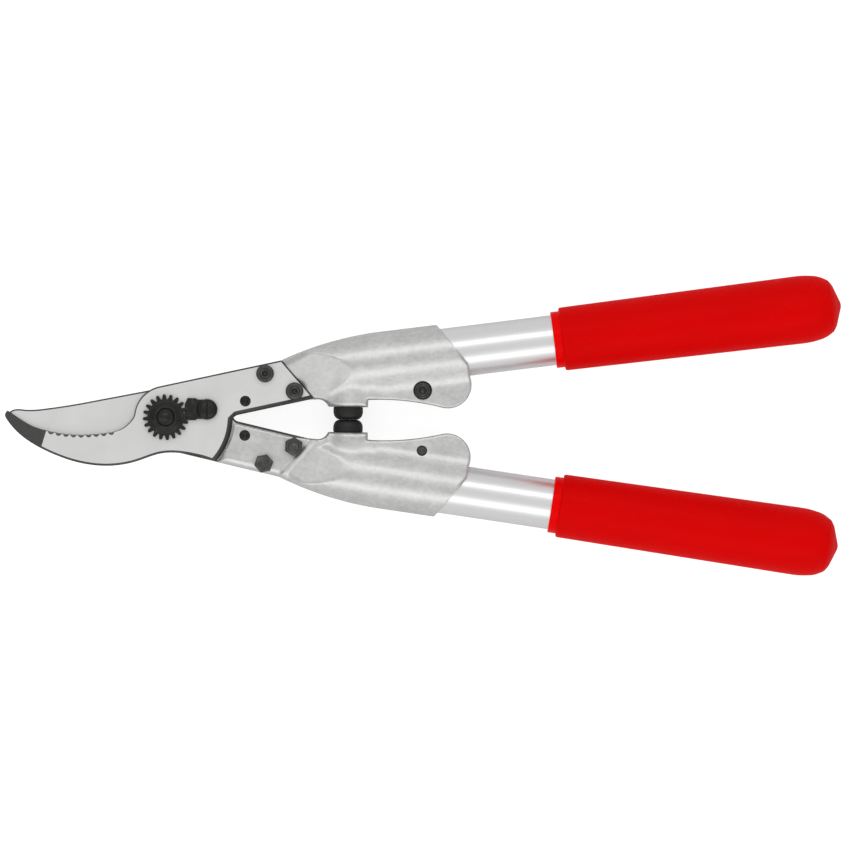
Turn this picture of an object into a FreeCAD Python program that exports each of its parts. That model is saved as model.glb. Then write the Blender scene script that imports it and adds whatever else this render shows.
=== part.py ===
"""Two-hand bypass pruning shears: two bolted blades, two cast brackets on tubes, grips and shock absorbers.

Frame, in millimetres: the pivot axis is Z. The origin is on that axis, on the outer flat of the pivot bolt's head,
and +Z runs from there through the cutting blade and the counter-blade to the nut. +X runs from the pivot to the
grips, midway between the closed handles, and +Y is the side of the counter-blade's handle.
Side a is the counter-blade's handle. Side b is the same handle turned half a turn about the long axis.
"""
import FreeCAD, Part
import math
import os

V = FreeCAD.Vector

# ---- blades ----
jaw_length = 77.0        # pivot axis to the tip of the closed jaw
hook_depth = 23.6        # pivot axis to the deepest point of the hook's back
gullet_depth = 9.0       # pivot axis to the deepest point of the hook's inner edge
spine_rise = 2.8         # height of the cutting blade's spine behind its tip
spine_knee = 6.2         # height of the spine where it turns straight
spine_under = 3.2        # how far the spine's end lies inside the counter-blade's outline, degrees
edge_overlap = 2.5       # how far the closed cutting edge lies past the hook's inner edge
blade_t = 4.2            # thickness of either blade
blade_play = 0.10        # running gap between the blades
head_play = 0.05         # running gap between cutting blade and bolt head
hub_r = 31.8             # round edge of either blade that faces the other bracket
tang_angle = 12.8        # tang direction, from the long axis
crotch_y = 1.1           # half the gap between the tangs where they leave the hubs
tang_high = 15.1         # pivot axis to the tang's outer edge
tang_end_low = 70.8      # tang length along the gap side
tang_end_high = 59.2     # tang length along the outer side
crotch_r = 3.3           # round between hub and tang edge
edge_break = 1.2         # chamfer along the hub and the gap side of the tang
notch_count = 9          # half-round notches in the hook's inner edge
notch_r = 1.15
notch_pitch = 3.6
notch_start = 26.0       # first notch, distance from the pivot
notch_lean = 1.15        # each notch runs out by this much over the thickness, so the shearing edge stays whole
tip_flat_x = 58.4        # where the flat on the hook's tip starts
tip_flat_tilt = 16.5     # direction of that line, from square to the jaw
tip_flat_drop = 9.5      # slope of the flat, degrees
bevel_w = 5.0            # width of the cutting bevel
edge_land = 0.3          # thickness left at the cutting edge

# ---- pivot ----
pivot_d = 8.0
pivot_play = 0.05        # radial clearance of the turning blade
pivot_head_d = 22.0
pivot_head_h = 3.5
pivot_end = 0.9          # bolt end above the nut
nut_teeth = 20
nut_r = 11.0
nut_root_r = 8.7
nut_t = 3.6              # toothed part
nut_dome = 1.6           # raised centre
nut_phase = 4.9          # direction of one tooth
mesh_gap = 0.15
segment_x = 19.7         # segment screw
segment_y = 4.0
segment_t = 3.2
segment_neck = 9.4
segment_flare = 10.6     # width of its toothed end
segment_flare_x = 14.0   # how far the toothed end reaches
segment_screw_d = 5.0
segment_head_d = 9.9
segment_head_h = 2.4
slot_w = 0.9
slot_deep = 1.0

# ---- handles ----
handle_angle = 7.76      # tube axis, from the long axis
handle_offset = 14.1     # tube axis beside the pivot axis
tube_d = 24.0
tube_wall = 2.0
tube_from = 88.0         # along the tube axis, from beside the pivot
tube_to = 311.0
socket_wall = 2.2
socket_play = 0.05
cut_from = 131.7         # outer end of the bracket's slanting rim
cut_to = 144.6           # inner end of the rim
grip_from = 186.4
grip_collar = 4.0
grip_collar_d = 27.0
grip_front_d = 30.3
grip_rear_d = 32.5
grip_play = 0.05
grip_end_t = 13.8        # closed end beyond the tube
grip_shoulder = 15.8     # length of the rounded and conical end

# ---- brackets ----
tongue_t = 7.5
tongue_gap = 0.6         # between a blade's hub and the other bracket
heel_clear = 3.5         # travel left when the bracket's heel meets the hook's back
tongue_inset = 1.0       # the tongue's gap side lies this far behind the tang's
facet_gap = 0.3          # between the tang's end and the bracket's sloping face
crest = 86.0             # where the sloping faces reach the full height of the socket
ridge = 3.0              # where the rear slope starts, past the tang's middle
boss_x = 87.0
boss_d = 18.9
boss_y = 6.0
lug_t = 15.5
lug_x = 134.6
lug_y = 17.2
lug_r = 11.2
lug_low = 9.5            # lower edge beside the boss
slit_w = 1.5

# ---- fasteners and shock absorbers ----
plate_bolt_d = 5.0
plate_bolt_play = 0.15
plate_head_d = 8.5
plate_head_h = 3.5
plate_socket = 3.0
plate_bolt_end = 0.8
plate_nut_af = 8.0
plate_nut_t = 4.0
front_bolt_in = 4.6       # front bolt, from the tang's outer side
front_bolt_back = 8.5    # and from the tang's end
rear_bolt_in = 5.4       # rear bolt, from the tang's gap side
rear_bolt_back = 8.1
dowel_d = 5.2
dowel_in = 5.7           # dowel, from the tang's gap side
dowel_out = 6.9          # and from the hub
dowel_proud = 0.3
clamp_s = 121.4          # clamp screw, along the tube axis
clamp_out = 4.25         # and from the tube's surface
clamp_d = 5.0
clamp_play = 0.25
clamp_head_d = 8.5
clamp_head_h = 3.8
clamp_recess = 0.5       # head below the lug's face
clamp_bore_d = 9.1
clamp_socket = 4.0
clamp_back = 0.6         # the screw's end stays this far inside the lug
bumper_d = 14.1
bumper_flat_d = 8.0
bumper_gap = 0.2         # between the two bumpers when closed
bumper_stem_d = 6.0
bumper_stem = 5.0

opening = 90.0           # full opening of the handles

# ---- heights ----
z_blade = pivot_head_h + head_play            # rear face of the cutting blade
z_shear = z_blade + blade_t                   # its front face
z_hook = z_shear + blade_play                 # rear face of the counter-blade
z_front = z_hook + blade_t                    # its front face, where the nut sits
z_mid = (z_shear + z_hook) / 2                # plane of the tube axes
socket_r = tube_d / 2 + socket_wall
tang_low = (hub_r * math.sin(math.radians(tang_angle)) - crotch_y) / math.cos(math.radians(tang_angle))


def ray(angle, r):
    return (r * math.cos(math.radians(angle)), r * math.sin(math.radians(angle)))


def tang(u, v):
    """A point given along and across the tang of side a."""
    c = math.cos(math.radians(tang_angle))
    s = math.sin(math.radians(tang_angle))
    return (u * c - v * s, u * s + v * c)


def handle(s, t):
    """A point given along and across the tube axis of side a."""
    c = math.cos(math.radians(handle_angle))
    n = math.sin(math.radians(handle_angle))
    return (s * c - t * n, handle_offset + s * n + t * c)


def vec(p, z=0.0):
    return V(p[0], p[1], z)


def line(p, q):
    return Part.LineSegment(vec(p), vec(q)).toShape()


def arc(p, m, q):
    return Part.Arc(vec(p), vec(m), vec(q)).toShape()


def curve(points, start=None, end=None):
    """A smooth curve through the points, with directions at its ends where they are given."""
    spline = Part.BSplineCurve()
    pts = [vec(p) for p in points]
    if start is not None and end is not None:
        spline.interpolate(Points=pts, InitialTangent=vec(start), FinalTangent=vec(end))
    else:
        spline.interpolate(Points=pts)
    return spline.toShape()


def plate(edges, z0, z1):
    face = Part.Face(Part.Wire(edges))
    solid = face.extrude(V(0, 0, z1 - z0))
    solid.translate(V(0, 0, z0))
    return solid


def polygon(points, z0, z1):
    wire = Part.makePolygon([vec(p) for p in points] + [vec(points[0])])
    solid = Part.Face(wire).extrude(V(0, 0, z1 - z0))
    solid.translate(V(0, 0, z0))
    return solid


def rod(p, r, z0, z1):
    return Part.makeCylinder(r, z1 - z0, vec(p, z0), V(0, 0, 1))


def hexagon(p, af, z0, z1, turn=0.0):
    r = af / 2 / math.cos(math.pi / 6)
    pts = []
    for k in range(6):
        d = ray(60 * k + turn, r)
        pts.append((p[0] + d[0], p[1] + d[1]))
    return polygon(pts, z0, z1)


def lathe(profile):
    """A solid turned about X from (x, radius) points."""
    wire = Part.makePolygon([V(x, r, 0) for x, r in profile] + [V(profile[0][0], profile[0][1], 0)])
    return Part.Face(wire).revolve(V(0, 0, 0), V(1, 0, 0), 360)


def onto_handle(solid):
    """Moves a solid made along X onto the tube axis of side a."""
    solid.rotate(V(0, 0, 0), V(0, 0, 1), handle_angle)
    solid.translate(V(0, handle_offset, z_mid))
    return solid


def half_turn(solid):
    """Side a to side b: half a turn about the long axis."""
    other = solid.copy()
    other.rotate(V(0, 0, z_mid), V(1, 0, 0), 180)
    return other


def mirrored(p):
    return (p[0], -p[1])


def cut_all(solid, tools):
    for tool in tools:
        solid = solid.cut(tool)
    return solid


def one_solid(shape):
    shape = shape.removeSplitter()
    return shape.Solids[0] if len(shape.Solids) == 1 else shape


def crotch():
    """Centre of the round between hub and tang edge, and its two tangent points."""
    v = -tang_low - crotch_r
    u = math.sqrt((hub_r + crotch_r) ** 2 - v ** 2)
    centre = tang(u, v)
    on_hub = (centre[0] * hub_r / (hub_r + crotch_r), centre[1] * hub_r / (hub_r + crotch_r))
    mid_dir = ((on_hub[0] + tang(u, -tang_low)[0]) / 2 - centre[0], (on_hub[1] + tang(u, -tang_low)[1]) / 2 - centre[1])
    size = math.hypot(mid_dir[0], mid_dir[1])
    mid = (centre[0] + mid_dir[0] / size * crotch_r, centre[1] + mid_dir[1] / size * crotch_r)
    return on_hub, mid, tang(u, -tang_low)


def tang_edges(corner):
    """Hub arc, crotch, tang and its outer edge, from the hub's corner round to the tang's outer edge."""
    on_hub, mid, on_tang = crotch()
    a0 = math.degrees(math.atan2(corner[1], corner[0]))
    a1 = math.degrees(math.atan2(on_hub[1], on_hub[0]))
    return [arc(corner, ray((a0 + a1) / 2, hub_r), on_hub),
            arc(on_hub, mid, on_tang),
            line(on_tang, tang(tang_end_low, -tang_low)),
            line(tang(tang_end_low, -tang_low), tang(tang_end_high, tang_high))]


def hub_corner():
    """Where the blade's outer edge meets its hub arc: on the mirrored line of the tang's outer edge."""
    u = math.sqrt(hub_r ** 2 - tang_high ** 2)
    return mirrored(tang(u, tang_high))


def hook_back():
    """Back of the hook from the tip to the hub's corner: share of the jaw's length, share of its depth."""
    shares = [(0.995, -0.055), (0.90, -0.40), (0.77, -0.665), (0.60, -0.887), (0.38, -1.0), (0.17, -0.89), (0.03, -0.735)]
    pts = [(-jaw_length * a, hook_depth * b) for a, b in shares]
    pts.append((8.0, -17.1 * tang_high / 15.1))
    return pts + [hub_corner()]


def gullet():
    """Inner edge of the hook from the throat to the tip."""
    shares = [(0.222, -0.27), (0.27, -0.63), (0.325, -0.81), (0.43, -0.945), (0.525, -1.0), (0.62, -0.965), (0.71, -0.85), (0.79, -0.68)]
    pts = [(-jaw_length * a, gullet_depth * b) for a, b in shares]
    tip = [(-jaw_length * 0.87, -gullet_depth * 0.38), (-jaw_length * 0.95, spine_rise * 0.18)]
    return pts + tip + [(-jaw_length * 0.983, spine_rise * 0.8)]


def front_bolt():
    return tang(tang_end_high - front_bolt_back, tang_high - front_bolt_in)


def rear_bolt():
    return tang(tang_end_low - rear_bolt_back, rear_bolt_in - tang_low)


def dowel_point():
    return tang(hub_r + dowel_out, dowel_in - tang_low)


def clamp_point():
    return handle(clamp_s, -tube_d / 2 - clamp_out)


def bolt_points():
    return [front_bolt(), rear_bolt()]


def counter_blade():
    corner = hub_corner()
    back = hook_back()
    outer = tang(tang_end_high, tang_high)
    shoulder = tang(0.0, tang_high)
    throat = ray(173.0, tang_high)
    inner = [throat] + gullet()
    tip_top = inner[-1]
    edges = tang_edges(corner)
    edges.append(line(outer, shoulder))
    edges.append(arc(shoulder, ray(138.0, tang_high), throat))
    edges.append(curve(inner, ray(263.0, 1.0), ray(146.0, 1.0)))
    edges.append(arc(tip_top, (-jaw_length, 0.6), back[0]))
    edges.append(curve(back))
    solid = plate(Part.__sortEdges__(edges), z_hook, z_front)
    # notches along the inner edge
    path = edges[6]
    for k in range(notch_count):
        x = -notch_start - k * notch_pitch
        ruler = Part.makeLine(V(x, -hook_depth * 0.75, 0), V(x, gullet_depth, 0))
        y = ruler.distToShape(path)[1][0][0].y
        run = V(0, -notch_lean, blade_t)
        foot = V(x, y + 0.1, z_front) - run * 1.5
        solid = solid.cut(Part.makeCylinder(notch_r, run.Length * 2, foot, run))
    # ground flat on the tip
    drop = math.tan(math.radians(tip_flat_drop))
    reach = jaw_length
    wedge = Part.makePolygon([V(0, -reach, 0), V(-reach, -reach, -reach * drop), V(-reach, -reach, reach),
                              V(0, -reach, reach), V(0, -reach, 0)])
    wedge = Part.Face(wedge).extrude(V(0, 2 * reach, 0))
    wedge.rotate(V(0, 0, 0), V(0, 0, 1), -tip_flat_tilt)
    wedge.translate(V(-tip_flat_x, -hook_depth / 2, z_front))
    solid = solid.cut(wedge)
    solid = edge_chamfers(solid, z_front)
    tools = [rod((0, 0), pivot_d / 2, z_hook - 1, z_front + 1),
             rod((segment_x, segment_y), segment_screw_d / 2, z_hook - 1, z_front + 1),
             rod(dowel_point(), dowel_d / 2, z_hook - 1, z_front + 1)]
    for p in bolt_points():
        tools.append(rod(p, plate_bolt_d / 2 + plate_bolt_play, z_hook - 1, z_front + 1))
    return one_solid(cut_all(solid, tools))


def edge_chamfers(solid, z):
    """Chamfer of the outer face along the hub, the crotch and the gap side of the tang."""
    chosen = []
    for e in solid.Edges:
        box = e.BoundBox
        if abs(box.ZMin - z) > 0.001 or abs(box.ZMax - z) > 0.001:
            continue
        m = e.valueAt((e.FirstParameter + e.LastParameter) / 2)
        r = math.hypot(m.x, m.y)
        c = math.cos(math.radians(tang_angle))
        s = math.sin(math.radians(tang_angle))
        v = m.y * c - m.x * s if z > z_mid else -m.y * c - m.x * s
        on_hub = abs(r - hub_r) < 0.2
        on_gap_side = abs(v + tang_low) < 0.5 * crotch_r and m.x > hub_r * 0.9
        if on_hub or on_gap_side:
            chosen.append(e)
    return solid.makeChamfer(edge_break, chosen)


def circle_through(p, q, r):
    """Centre and radius of the circle through three points."""
    ax, ay, bx, by, cx, cy = p[0], p[1], q[0], q[1], r[0], r[1]
    d = 2 * (ax * (by - cy) + bx * (cy - ay) + cx * (ay - by))
    a2, b2, c2 = ax * ax + ay * ay, bx * bx + by * by, cx * cx + cy * cy
    x = (a2 * (by - cy) + b2 * (cy - ay) + c2 * (ay - by)) / d
    y = (a2 * (cx - bx) + b2 * (ax - cx) + c2 * (bx - ax)) / d
    return (x, y), math.hypot(ax - x, ay - y)


def cutting_blade():
    far = hub_corner()
    corner = ray(math.degrees(math.atan2(-far[1], far[0])) - spine_under, hub_r)
    tip = (-jaw_length * 0.972, spine_rise * 0.6)
    spine = [tip, (-jaw_length * 0.945, spine_rise * 1.0), (-jaw_length * 0.88, spine_rise),
             (-jaw_length * 0.74, spine_rise + 0.7)]
    knee = (-jaw_length * 0.53, spine_knee)
    before = (knee[0] - (corner[0] - knee[0]) * 0.06, knee[1] - (corner[1] - knee[1]) * 0.055)
    heel = ray(207.0, tang_high)
    low = (-jaw_length * 0.57, -gullet_depth - edge_overlap)
    edges = [mirror_edge(e) for e in tang_edges(mirrored(corner))]
    outer = mirrored(tang(tang_end_high, tang_high))
    tangent = ray(270.0 - tang_angle, tang_high)
    edges.append(line(outer, tangent))
    edges.append(arc(tangent, ray((477.0 - tang_angle) / 2, tang_high), heel))
    edges.append(arc(heel, low, tip))
    edges.append(curve(spine + [before, knee]))
    edges.append(line(knee, corner))
    solid = plate(Part.__sortEdges__(edges), z_blade, z_shear)
    # bevel: part of a cone about the centre of the cutting edge, on the outer face
    centre, r = circle_through(heel, low, tip)
    wire = Part.makePolygon([V(r - bevel_w, 0, z_blade), V(r, 0, z_shear - edge_land), V(r + 8, 0, z_shear - edge_land),
                             V(r + 8, 0, z_blade - 2), V(r - bevel_w, 0, z_blade - 2), V(r - bevel_w, 0, z_blade)])
    face = Part.Face(wire)
    a0 = math.degrees(math.atan2(tip[1] - centre[1], tip[0] - centre[0])) - 12
    a1 = math.degrees(math.atan2(heel[1] - centre[1], heel[0] - centre[0])) - 3
    cutter = face.revolve(V(0, 0, 0), V(0, 0, 1), a1 - a0)
    cutter.rotate(V(0, 0, 0), V(0, 0, 1), a0)
    cutter.translate(V(centre[0], centre[1], 0))
    solid = solid.cut(cutter)
    solid = edge_chamfers(solid, z_blade)
    tools = [rod((0, 0), pivot_d / 2 + pivot_play, z_blade - 1, z_shear + 1),
             rod(mirrored(dowel_point()), dowel_d / 2, z_blade - 1, z_shear + 1)]
    for p in bolt_points():
        tools.append(rod(mirrored(p), plate_bolt_d / 2 + plate_bolt_play, z_blade - 1, z_shear + 1))
    return one_solid(cut_all(solid, tools))


def mirror_edge(e):
    return e.mirror(V(0, 0, 0), V(0, 1, 0))


def pivot_bolt():
    z_nut = z_front + nut_t + nut_dome
    head = rod((0, 0), pivot_head_d / 2, 0, pivot_head_h)
    ring = [e for e in head.Edges if abs(e.BoundBox.ZMax) < 0.001 and abs(e.Length - math.pi * pivot_head_d) < 0.1]
    head = head.makeChamfer(0.6, ring)
    shank = rod((0, 0), pivot_d / 2, pivot_head_h - 0.5, z_nut + pivot_end)
    end = [e for e in shank.Edges if abs(e.BoundBox.ZMin - z_nut - pivot_end) < 0.001]
    shank = shank.makeChamfer(0.6, end)
    return one_solid(head.fuse(shank))


def toothed(root, tip, widen, z0, z1):
    """Toothed disc; widen adds to both flanks of each tooth."""
    pts = []
    pitch = 360.0 / nut_teeth
    for k in range(nut_teeth):
        a = nut_phase + k * pitch
        wr = pitch * 0.33 + math.degrees(widen / root)
        wt = pitch * 0.15 + math.degrees(widen / tip)
        pts.append(ray(a - min(wr, pitch * 0.49), root))
        pts.append(ray(a - wt, tip))
        pts.append(ray(a + wt, tip))
        pts.append(ray(a + min(wr, pitch * 0.49), root))
    return polygon(pts, z0, z1)


def pivot_nut():
    z1 = z_front + nut_t
    disc = toothed(nut_root_r, nut_r, 0.0, z_front, z1)
    dome = Part.makeCone(nut_root_r - 0.9, pivot_d / 2 + 1.2, nut_dome, V(0, 0, z1), V(0, 0, 1))
    return one_solid(disc.fuse(dome).cut(rod((0, 0), pivot_d / 2, z_front - 1, z1 + nut_dome + 1)))


def locking_segment():
    z1 = z_front + segment_t
    wide = segment_flare / 2
    half = segment_neck / 2
    x0 = nut_root_r + 0.3
    x1 = segment_flare_x
    blank = polygon([(x0, segment_y - wide), (x1, segment_y - wide), (x1 + 1.2, segment_y - half),
                     (segment_x, segment_y - half), (segment_x, segment_y + half), (x1 + 1.2, segment_y + half),
                     (x1, segment_y + wide), (x0 + 1.3, segment_y + wide), (x0, segment_y + wide * 0.45)],
                    z_front, z1)
    end = rod((segment_x, segment_y), half, z_front, z1)
    solid = blank.fuse(end).cut(rod((0, 0), nut_root_r + 2 * mesh_gap, z_front - 1, z1 + 1))
    solid = solid.cut(toothed(nut_root_r + mesh_gap, nut_r + mesh_gap, mesh_gap, z_front - 1, z1 + 1))
    solid = solid.cut(rod((segment_x, segment_y), segment_screw_d / 2, z_front - 1, z1 + 1))
    biggest = max(solid.Solids, key=lambda s: s.Volume)
    return one_solid(biggest)


def segment_screw():
    z0 = z_front + segment_t
    p = (segment_x, segment_y)
    r = segment_head_d / 2
    h = segment_head_h
    ball = (r * r + h * h) / (2 * h)
    dome = Part.makeSphere(ball, vec(p, z0 + h - ball), V(0, 0, 1), -90, 90, 360)
    head = dome.common(rod(p, r, z0, z0 + h + 1))
    slot = Part.makeBox(slot_w, 2 * r + 2, h, V(p[0] - slot_w / 2, p[1] - r - 1, z0 + h - slot_deep))
    shank = rod(p, segment_screw_d / 2, z_hook + 0.2, z0)
    return one_solid(head.cut(slot).fuse(shank))


def heel_angle(r):
    """Direction of the tongue's outer corner, so that it reaches the hook's back only past the full opening."""
    ring = Part.makeCircle(r)
    hits = [v.Point for v in ring.section([curve(hook_back())]).Vertexes if v.Point.x < 0]
    back = min(math.degrees(math.acos(p.x / r)) for p in hits)
    return back - opening - heel_clear


def bracket():
    """Cast bracket of side a, with its tongue behind the counter-blade."""
    z_plate = z_hook
    z_back = z_hook - tongue_t
    r_in = hub_r + tongue_gap
    tail_angle = heel_angle(r_in)
    tail = ray(tail_angle, r_in)
    v_low = tang_low - tongue_inset
    v_edge = tang(math.sqrt(r_in ** 2 - v_low ** 2), -v_low)
    v_mid = tang(tang_end_high, -v_low)
    v_end = tang(tang_end_low + 1.5, -tang_low - 0.6)
    boss_l = boss_x - boss_d / 2
    boss_r = boss_x + boss_d / 2
    outer = tang(tang_end_high, tang_high)
    rim_out = handle(cut_from, socket_r)
    rim_in = handle(cut_to, -tube_d * 0.30)
    rim_mid = handle((cut_from + cut_to) / 2 + 0.4, socket_r * 0.24)
    lug_in = (lug_x + lug_r * math.cos(math.radians(22)), lug_y + lug_r * math.sin(math.radians(22)))
    lug_bottom = (lug_x - 2.5, lug_y - math.sqrt(lug_r ** 2 - 2.5 ** 2))
    lug_mid = (lug_x + lug_r * math.cos(math.radians(-40)), lug_y + lug_r * math.sin(math.radians(-40)))
    back = [outer, handle(70.0, socket_r * 0.72), handle(82.0, socket_r * 0.88), handle(97.0, socket_r * 0.99),
            rim_out]
    edges = [arc(v_edge, ray(tail_angle * 0.55, r_in), tail),
             line(tail, outer),
             curve(back),
             arc(rim_out, rim_mid, rim_in),
             line(rim_in, lug_in),
             arc(lug_in, lug_mid, lug_bottom),
             curve([lug_bottom, ((lug_bottom[0] + boss_r) / 2, lug_low - 0.3), (boss_r, lug_low)]),
             line((boss_r, lug_low), (boss_r, boss_y)),
             line((boss_r, boss_y), (boss_l, boss_y)),
             arc((boss_l, boss_y), (boss_l - 1.6, (boss_y + v_end[1]) / 2 + 0.5), v_end),
             line(v_end, v_mid),
             line(v_mid, v_edge)]
    wires = Part.__sortEdges__(edges)
    outline = plate(wires, z_mid - socket_r, z_mid + socket_r)
    # full-height part: round socket, lug and boss
    barrel = onto_handle(Part.makeCylinder(socket_r, 100.0, V(52.0, 0, 0), V(1, 0, 0)))
    under = polygon([handle(62.0, 2.0), (v_end[0], 0.0), (lug_x + 2 * lug_r, 0.0), handle(cut_to + 14, 2.0)],
                    z_mid - lug_t / 2, z_mid + lug_t / 2)
    boss = Part.makeCylinder(boss_d / 2, handle(boss_x, 0)[1] - boss_y, V(boss_x, boss_y, z_mid), V(0, 1, 0))
    body = barrel.fuse(under).fuse(boss).common(outline)
    body = body.common(slope_keep(z_front, 1))
    body = body.common(slope_keep(z_back, -1))
    tongue = plate(wires, z_back, z_plate).common(polygon([(0, 0), tang(200, -60), tang(crest - 8, -20),
                                                           tang(crest - 16, 60), (0, 60)], z_back, z_plate))
    solid = body.fuse(tongue)
    # bore, slit and holes
    bore = Part.makeCylinder(tube_d / 2 + socket_play, 100.0, V(tube_from, 0, 0), V(1, 0, 0))
    slit = polygon([(boss_r + 0.6, lug_low - 20), (boss_r + 0.6, handle(boss_r, 0)[1]),
                    handle(cut_to + 20, 0), (lug_x + 3 * lug_r, lug_low - 20)], z_mid - slit_w / 2, z_mid + slit_w / 2)
    seat = z_mid + lug_t / 2 - clamp_head_h - clamp_recess
    tools = [onto_handle(bore), slit,
             rod(clamp_point(), clamp_bore_d / 2, seat, z_mid + socket_r + 1),
             rod(clamp_point(), clamp_d / 2 + clamp_play, z_mid, seat + 1),
             rod(clamp_point(), clamp_d / 2, z_mid - socket_r, z_mid + 0.1),
             rod(dowel_point(), dowel_d / 2, z_back - 1, z_plate + 1),
             Part.makeCylinder(bumper_stem_d / 2, bumper_stem + 0.2, V(boss_x, boss_y, z_mid), V(0, 1, 0))]
    for p in bolt_points():
        tools.append(rod(p, plate_bolt_d / 2 + plate_bolt_play, z_back - 1, z_plate + 1))
        tools.append(rod(p, plate_nut_af / 2 + 1.2, z_back - 8, z_back))
    return one_solid(cut_all(solid, tools))


def slope_keep(z_low, side):
    """Half-space kept under a sloping face: from the tang's end at z_low up to the socket's crown."""
    e0 = tang(tang_end_low, -tang_low)
    e1 = tang(tang_end_high, tang_high)
    along = math.degrees(math.atan2(e1[1] - e0[1], e1[0] - e0[0])) - 90
    gap = facet_gap if side > 0 else ridge
    n = ray(along, 1.0)
    start = ((e0[0] + e1[0]) / 2 + n[0] * gap, (e0[1] + e1[1]) / 2 + n[1] * gap)
    top = handle(crest, 0)
    run = (top[0] - start[0]) * n[0] + (top[1] - start[1]) * n[1]
    rise = z_mid + side * socket_r - z_low
    far = 200.0
    back = z_mid - side * (socket_r + 5)
    lead = gap - facet_gap
    pts = [V(0, -far, z_low), V(far, -far, z_low + rise / run * far), V(far, -far, back), V(-lead, -far, back)]
    if lead > 0:
        pts.append(V(-lead, -far, z_low))
    pts.append(pts[0])
    keep = Part.Face(Part.makePolygon(pts)).extrude(V(0, 2 * far, 0))
    keep.rotate(V(0, 0, 0), V(0, 0, 1), along)
    keep.translate(V(start[0], start[1], 0))
    return keep


def tube():
    solid = Part.makeCylinder(tube_d / 2, tube_to - tube_from, V(tube_from, 0, 0), V(1, 0, 0))
    hole = Part.makeCylinder(tube_d / 2 - tube_wall, tube_to - tube_from + 2, V(tube_from - 1, 0, 0), V(1, 0, 0))
    return onto_handle(solid.cut(hole))


def grip():
    end = tube_to + grip_end_t
    c0 = grip_from + grip_collar
    s0 = end - grip_shoulder
    rr = grip_rear_d / 2
    bore = tube_d / 2 + grip_play
    profile = [(grip_from, bore), (grip_from, grip_collar_d / 2), (c0, grip_collar_d / 2),
               (c0, grip_front_d / 2 - 0.8), (c0 + 0.8, grip_front_d / 2), (s0, rr),
               (s0 + grip_shoulder * 0.35, rr * 0.93), (s0 + grip_shoulder * 0.48, rr * 0.885),
               (s0 + grip_shoulder * 0.70, rr * 0.76), (s0 + grip_shoulder * 0.81, rr * 0.60),
               (end, 1.0), (end, 0.0), (tube_to, 0.0), (tube_to, bore)]
    return onto_handle(lathe(profile))


def bumper():
    top = bumper_gap / 2
    high = boss_y - top
    r = bumper_d / 2
    pts = [V(0, 0, 0), V(r - 0.4, 0, 0)]
    outer = Part.Arc(V(r - 0.4, 0, 0), V(r, high * 0.35, 0), V(r - 0.5, high * 0.66, 0)).toShape()
    shoulder = Part.Arc(V(r - 0.5, high * 0.66, 0), V((r + bumper_flat_d / 2) / 2, high * 0.93, 0),
                        V(bumper_flat_d / 2, high, 0)).toShape()
    wire = Part.Wire([Part.makeLine(pts[0], pts[1]), outer, shoulder,
                      Part.makeLine(V(bumper_flat_d / 2, high, 0), V(0, high, 0)),
                      Part.makeLine(V(0, high, 0), pts[0])])
    solid = Part.Face(wire).revolve(V(0, 0, 0), V(0, 1, 0), 360)
    solid.rotate(V(0, 0, 0), V(1, 0, 0), 180)
    solid.translate(V(boss_x, boss_y, z_mid))
    stem = Part.makeCylinder(bumper_stem_d / 2, bumper_stem, V(boss_x, boss_y, z_mid), V(0, 1, 0))
    return one_solid(solid.fuse(stem))


def dowel():
    return rod(dowel_point(), dowel_d / 2, z_hook - tongue_t - dowel_proud, z_front + dowel_proud)


def plate_bolt(p):
    z_end = z_hook - tongue_t - plate_nut_t - plate_bolt_end
    head = rod(p, plate_head_d / 2, z_front, z_front + plate_head_h)
    rim = [e for e in head.Edges if e.BoundBox.ZMin > z_front + plate_head_h - 0.001]
    head = head.makeChamfer(0.5, rim)
    head = head.cut(hexagon(p, plate_socket, z_front + plate_head_h - 1.8, z_front + plate_head_h + 1))
    return one_solid(head.fuse(rod(p, plate_bolt_d / 2, z_end, z_front)))


def plate_nut(p, turn):
    z0 = z_hook - tongue_t - plate_nut_t
    return hexagon(p, plate_nut_af, z0, z0 + plate_nut_t, turn).cut(rod(p, plate_bolt_d / 2, z0 - 1, z0 + plate_nut_t + 1))


def clamp_screw():
    seat = z_mid + lug_t / 2 - clamp_head_h - clamp_recess
    head = rod(clamp_point(), clamp_head_d / 2, seat, seat + clamp_head_h)
    rim = [e for e in head.Edges if e.BoundBox.ZMin > seat + clamp_head_h - 0.001]
    head = head.makeChamfer(0.5, rim)
    head = head.cut(hexagon(clamp_point(), clamp_socket, seat + clamp_head_h - 2.6, seat + clamp_head_h + 1))
    return one_solid(head.fuse(rod(clamp_point(), clamp_d / 2, z_mid - lug_t / 2 + clamp_back, seat)))


def main():
    os.makedirs("parts", exist_ok=True)
    parts = {"counter_blade": counter_blade(), "cutting_blade": cutting_blade(), "pivot_bolt": pivot_bolt(),
             "pivot_nut": pivot_nut(), "locking_segment": locking_segment(), "segment_screw": segment_screw()}
    side_a = {"casting": bracket(), "tube": tube(), "grip": grip(), "bumper": bumper(), "dowel": dowel(),
              "clamp_screw": clamp_screw(), "front_bolt": plate_bolt(front_bolt()), "rear_bolt": plate_bolt(rear_bolt()),
              "front_nut": plate_nut(front_bolt(), 12.0), "rear_nut": plate_nut(rear_bolt(), 27.0)}
    for name, solid in side_a.items():
        parts[name + "_a"] = solid
        parts[name + "_b"] = half_turn(solid)
    for name, solid in parts.items():
        print(name, len(solid.Solids), round(solid.Volume, 1), solid.isValid())
        solid.exportStep(os.path.join("parts", name + ".step"))


main()
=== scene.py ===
"""Two-hand pruning shears: the looks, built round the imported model. Lengths in the code are millimetres unless a
property says otherwise, and every mesh ends in metres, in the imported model's own frame."""
import math

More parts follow.
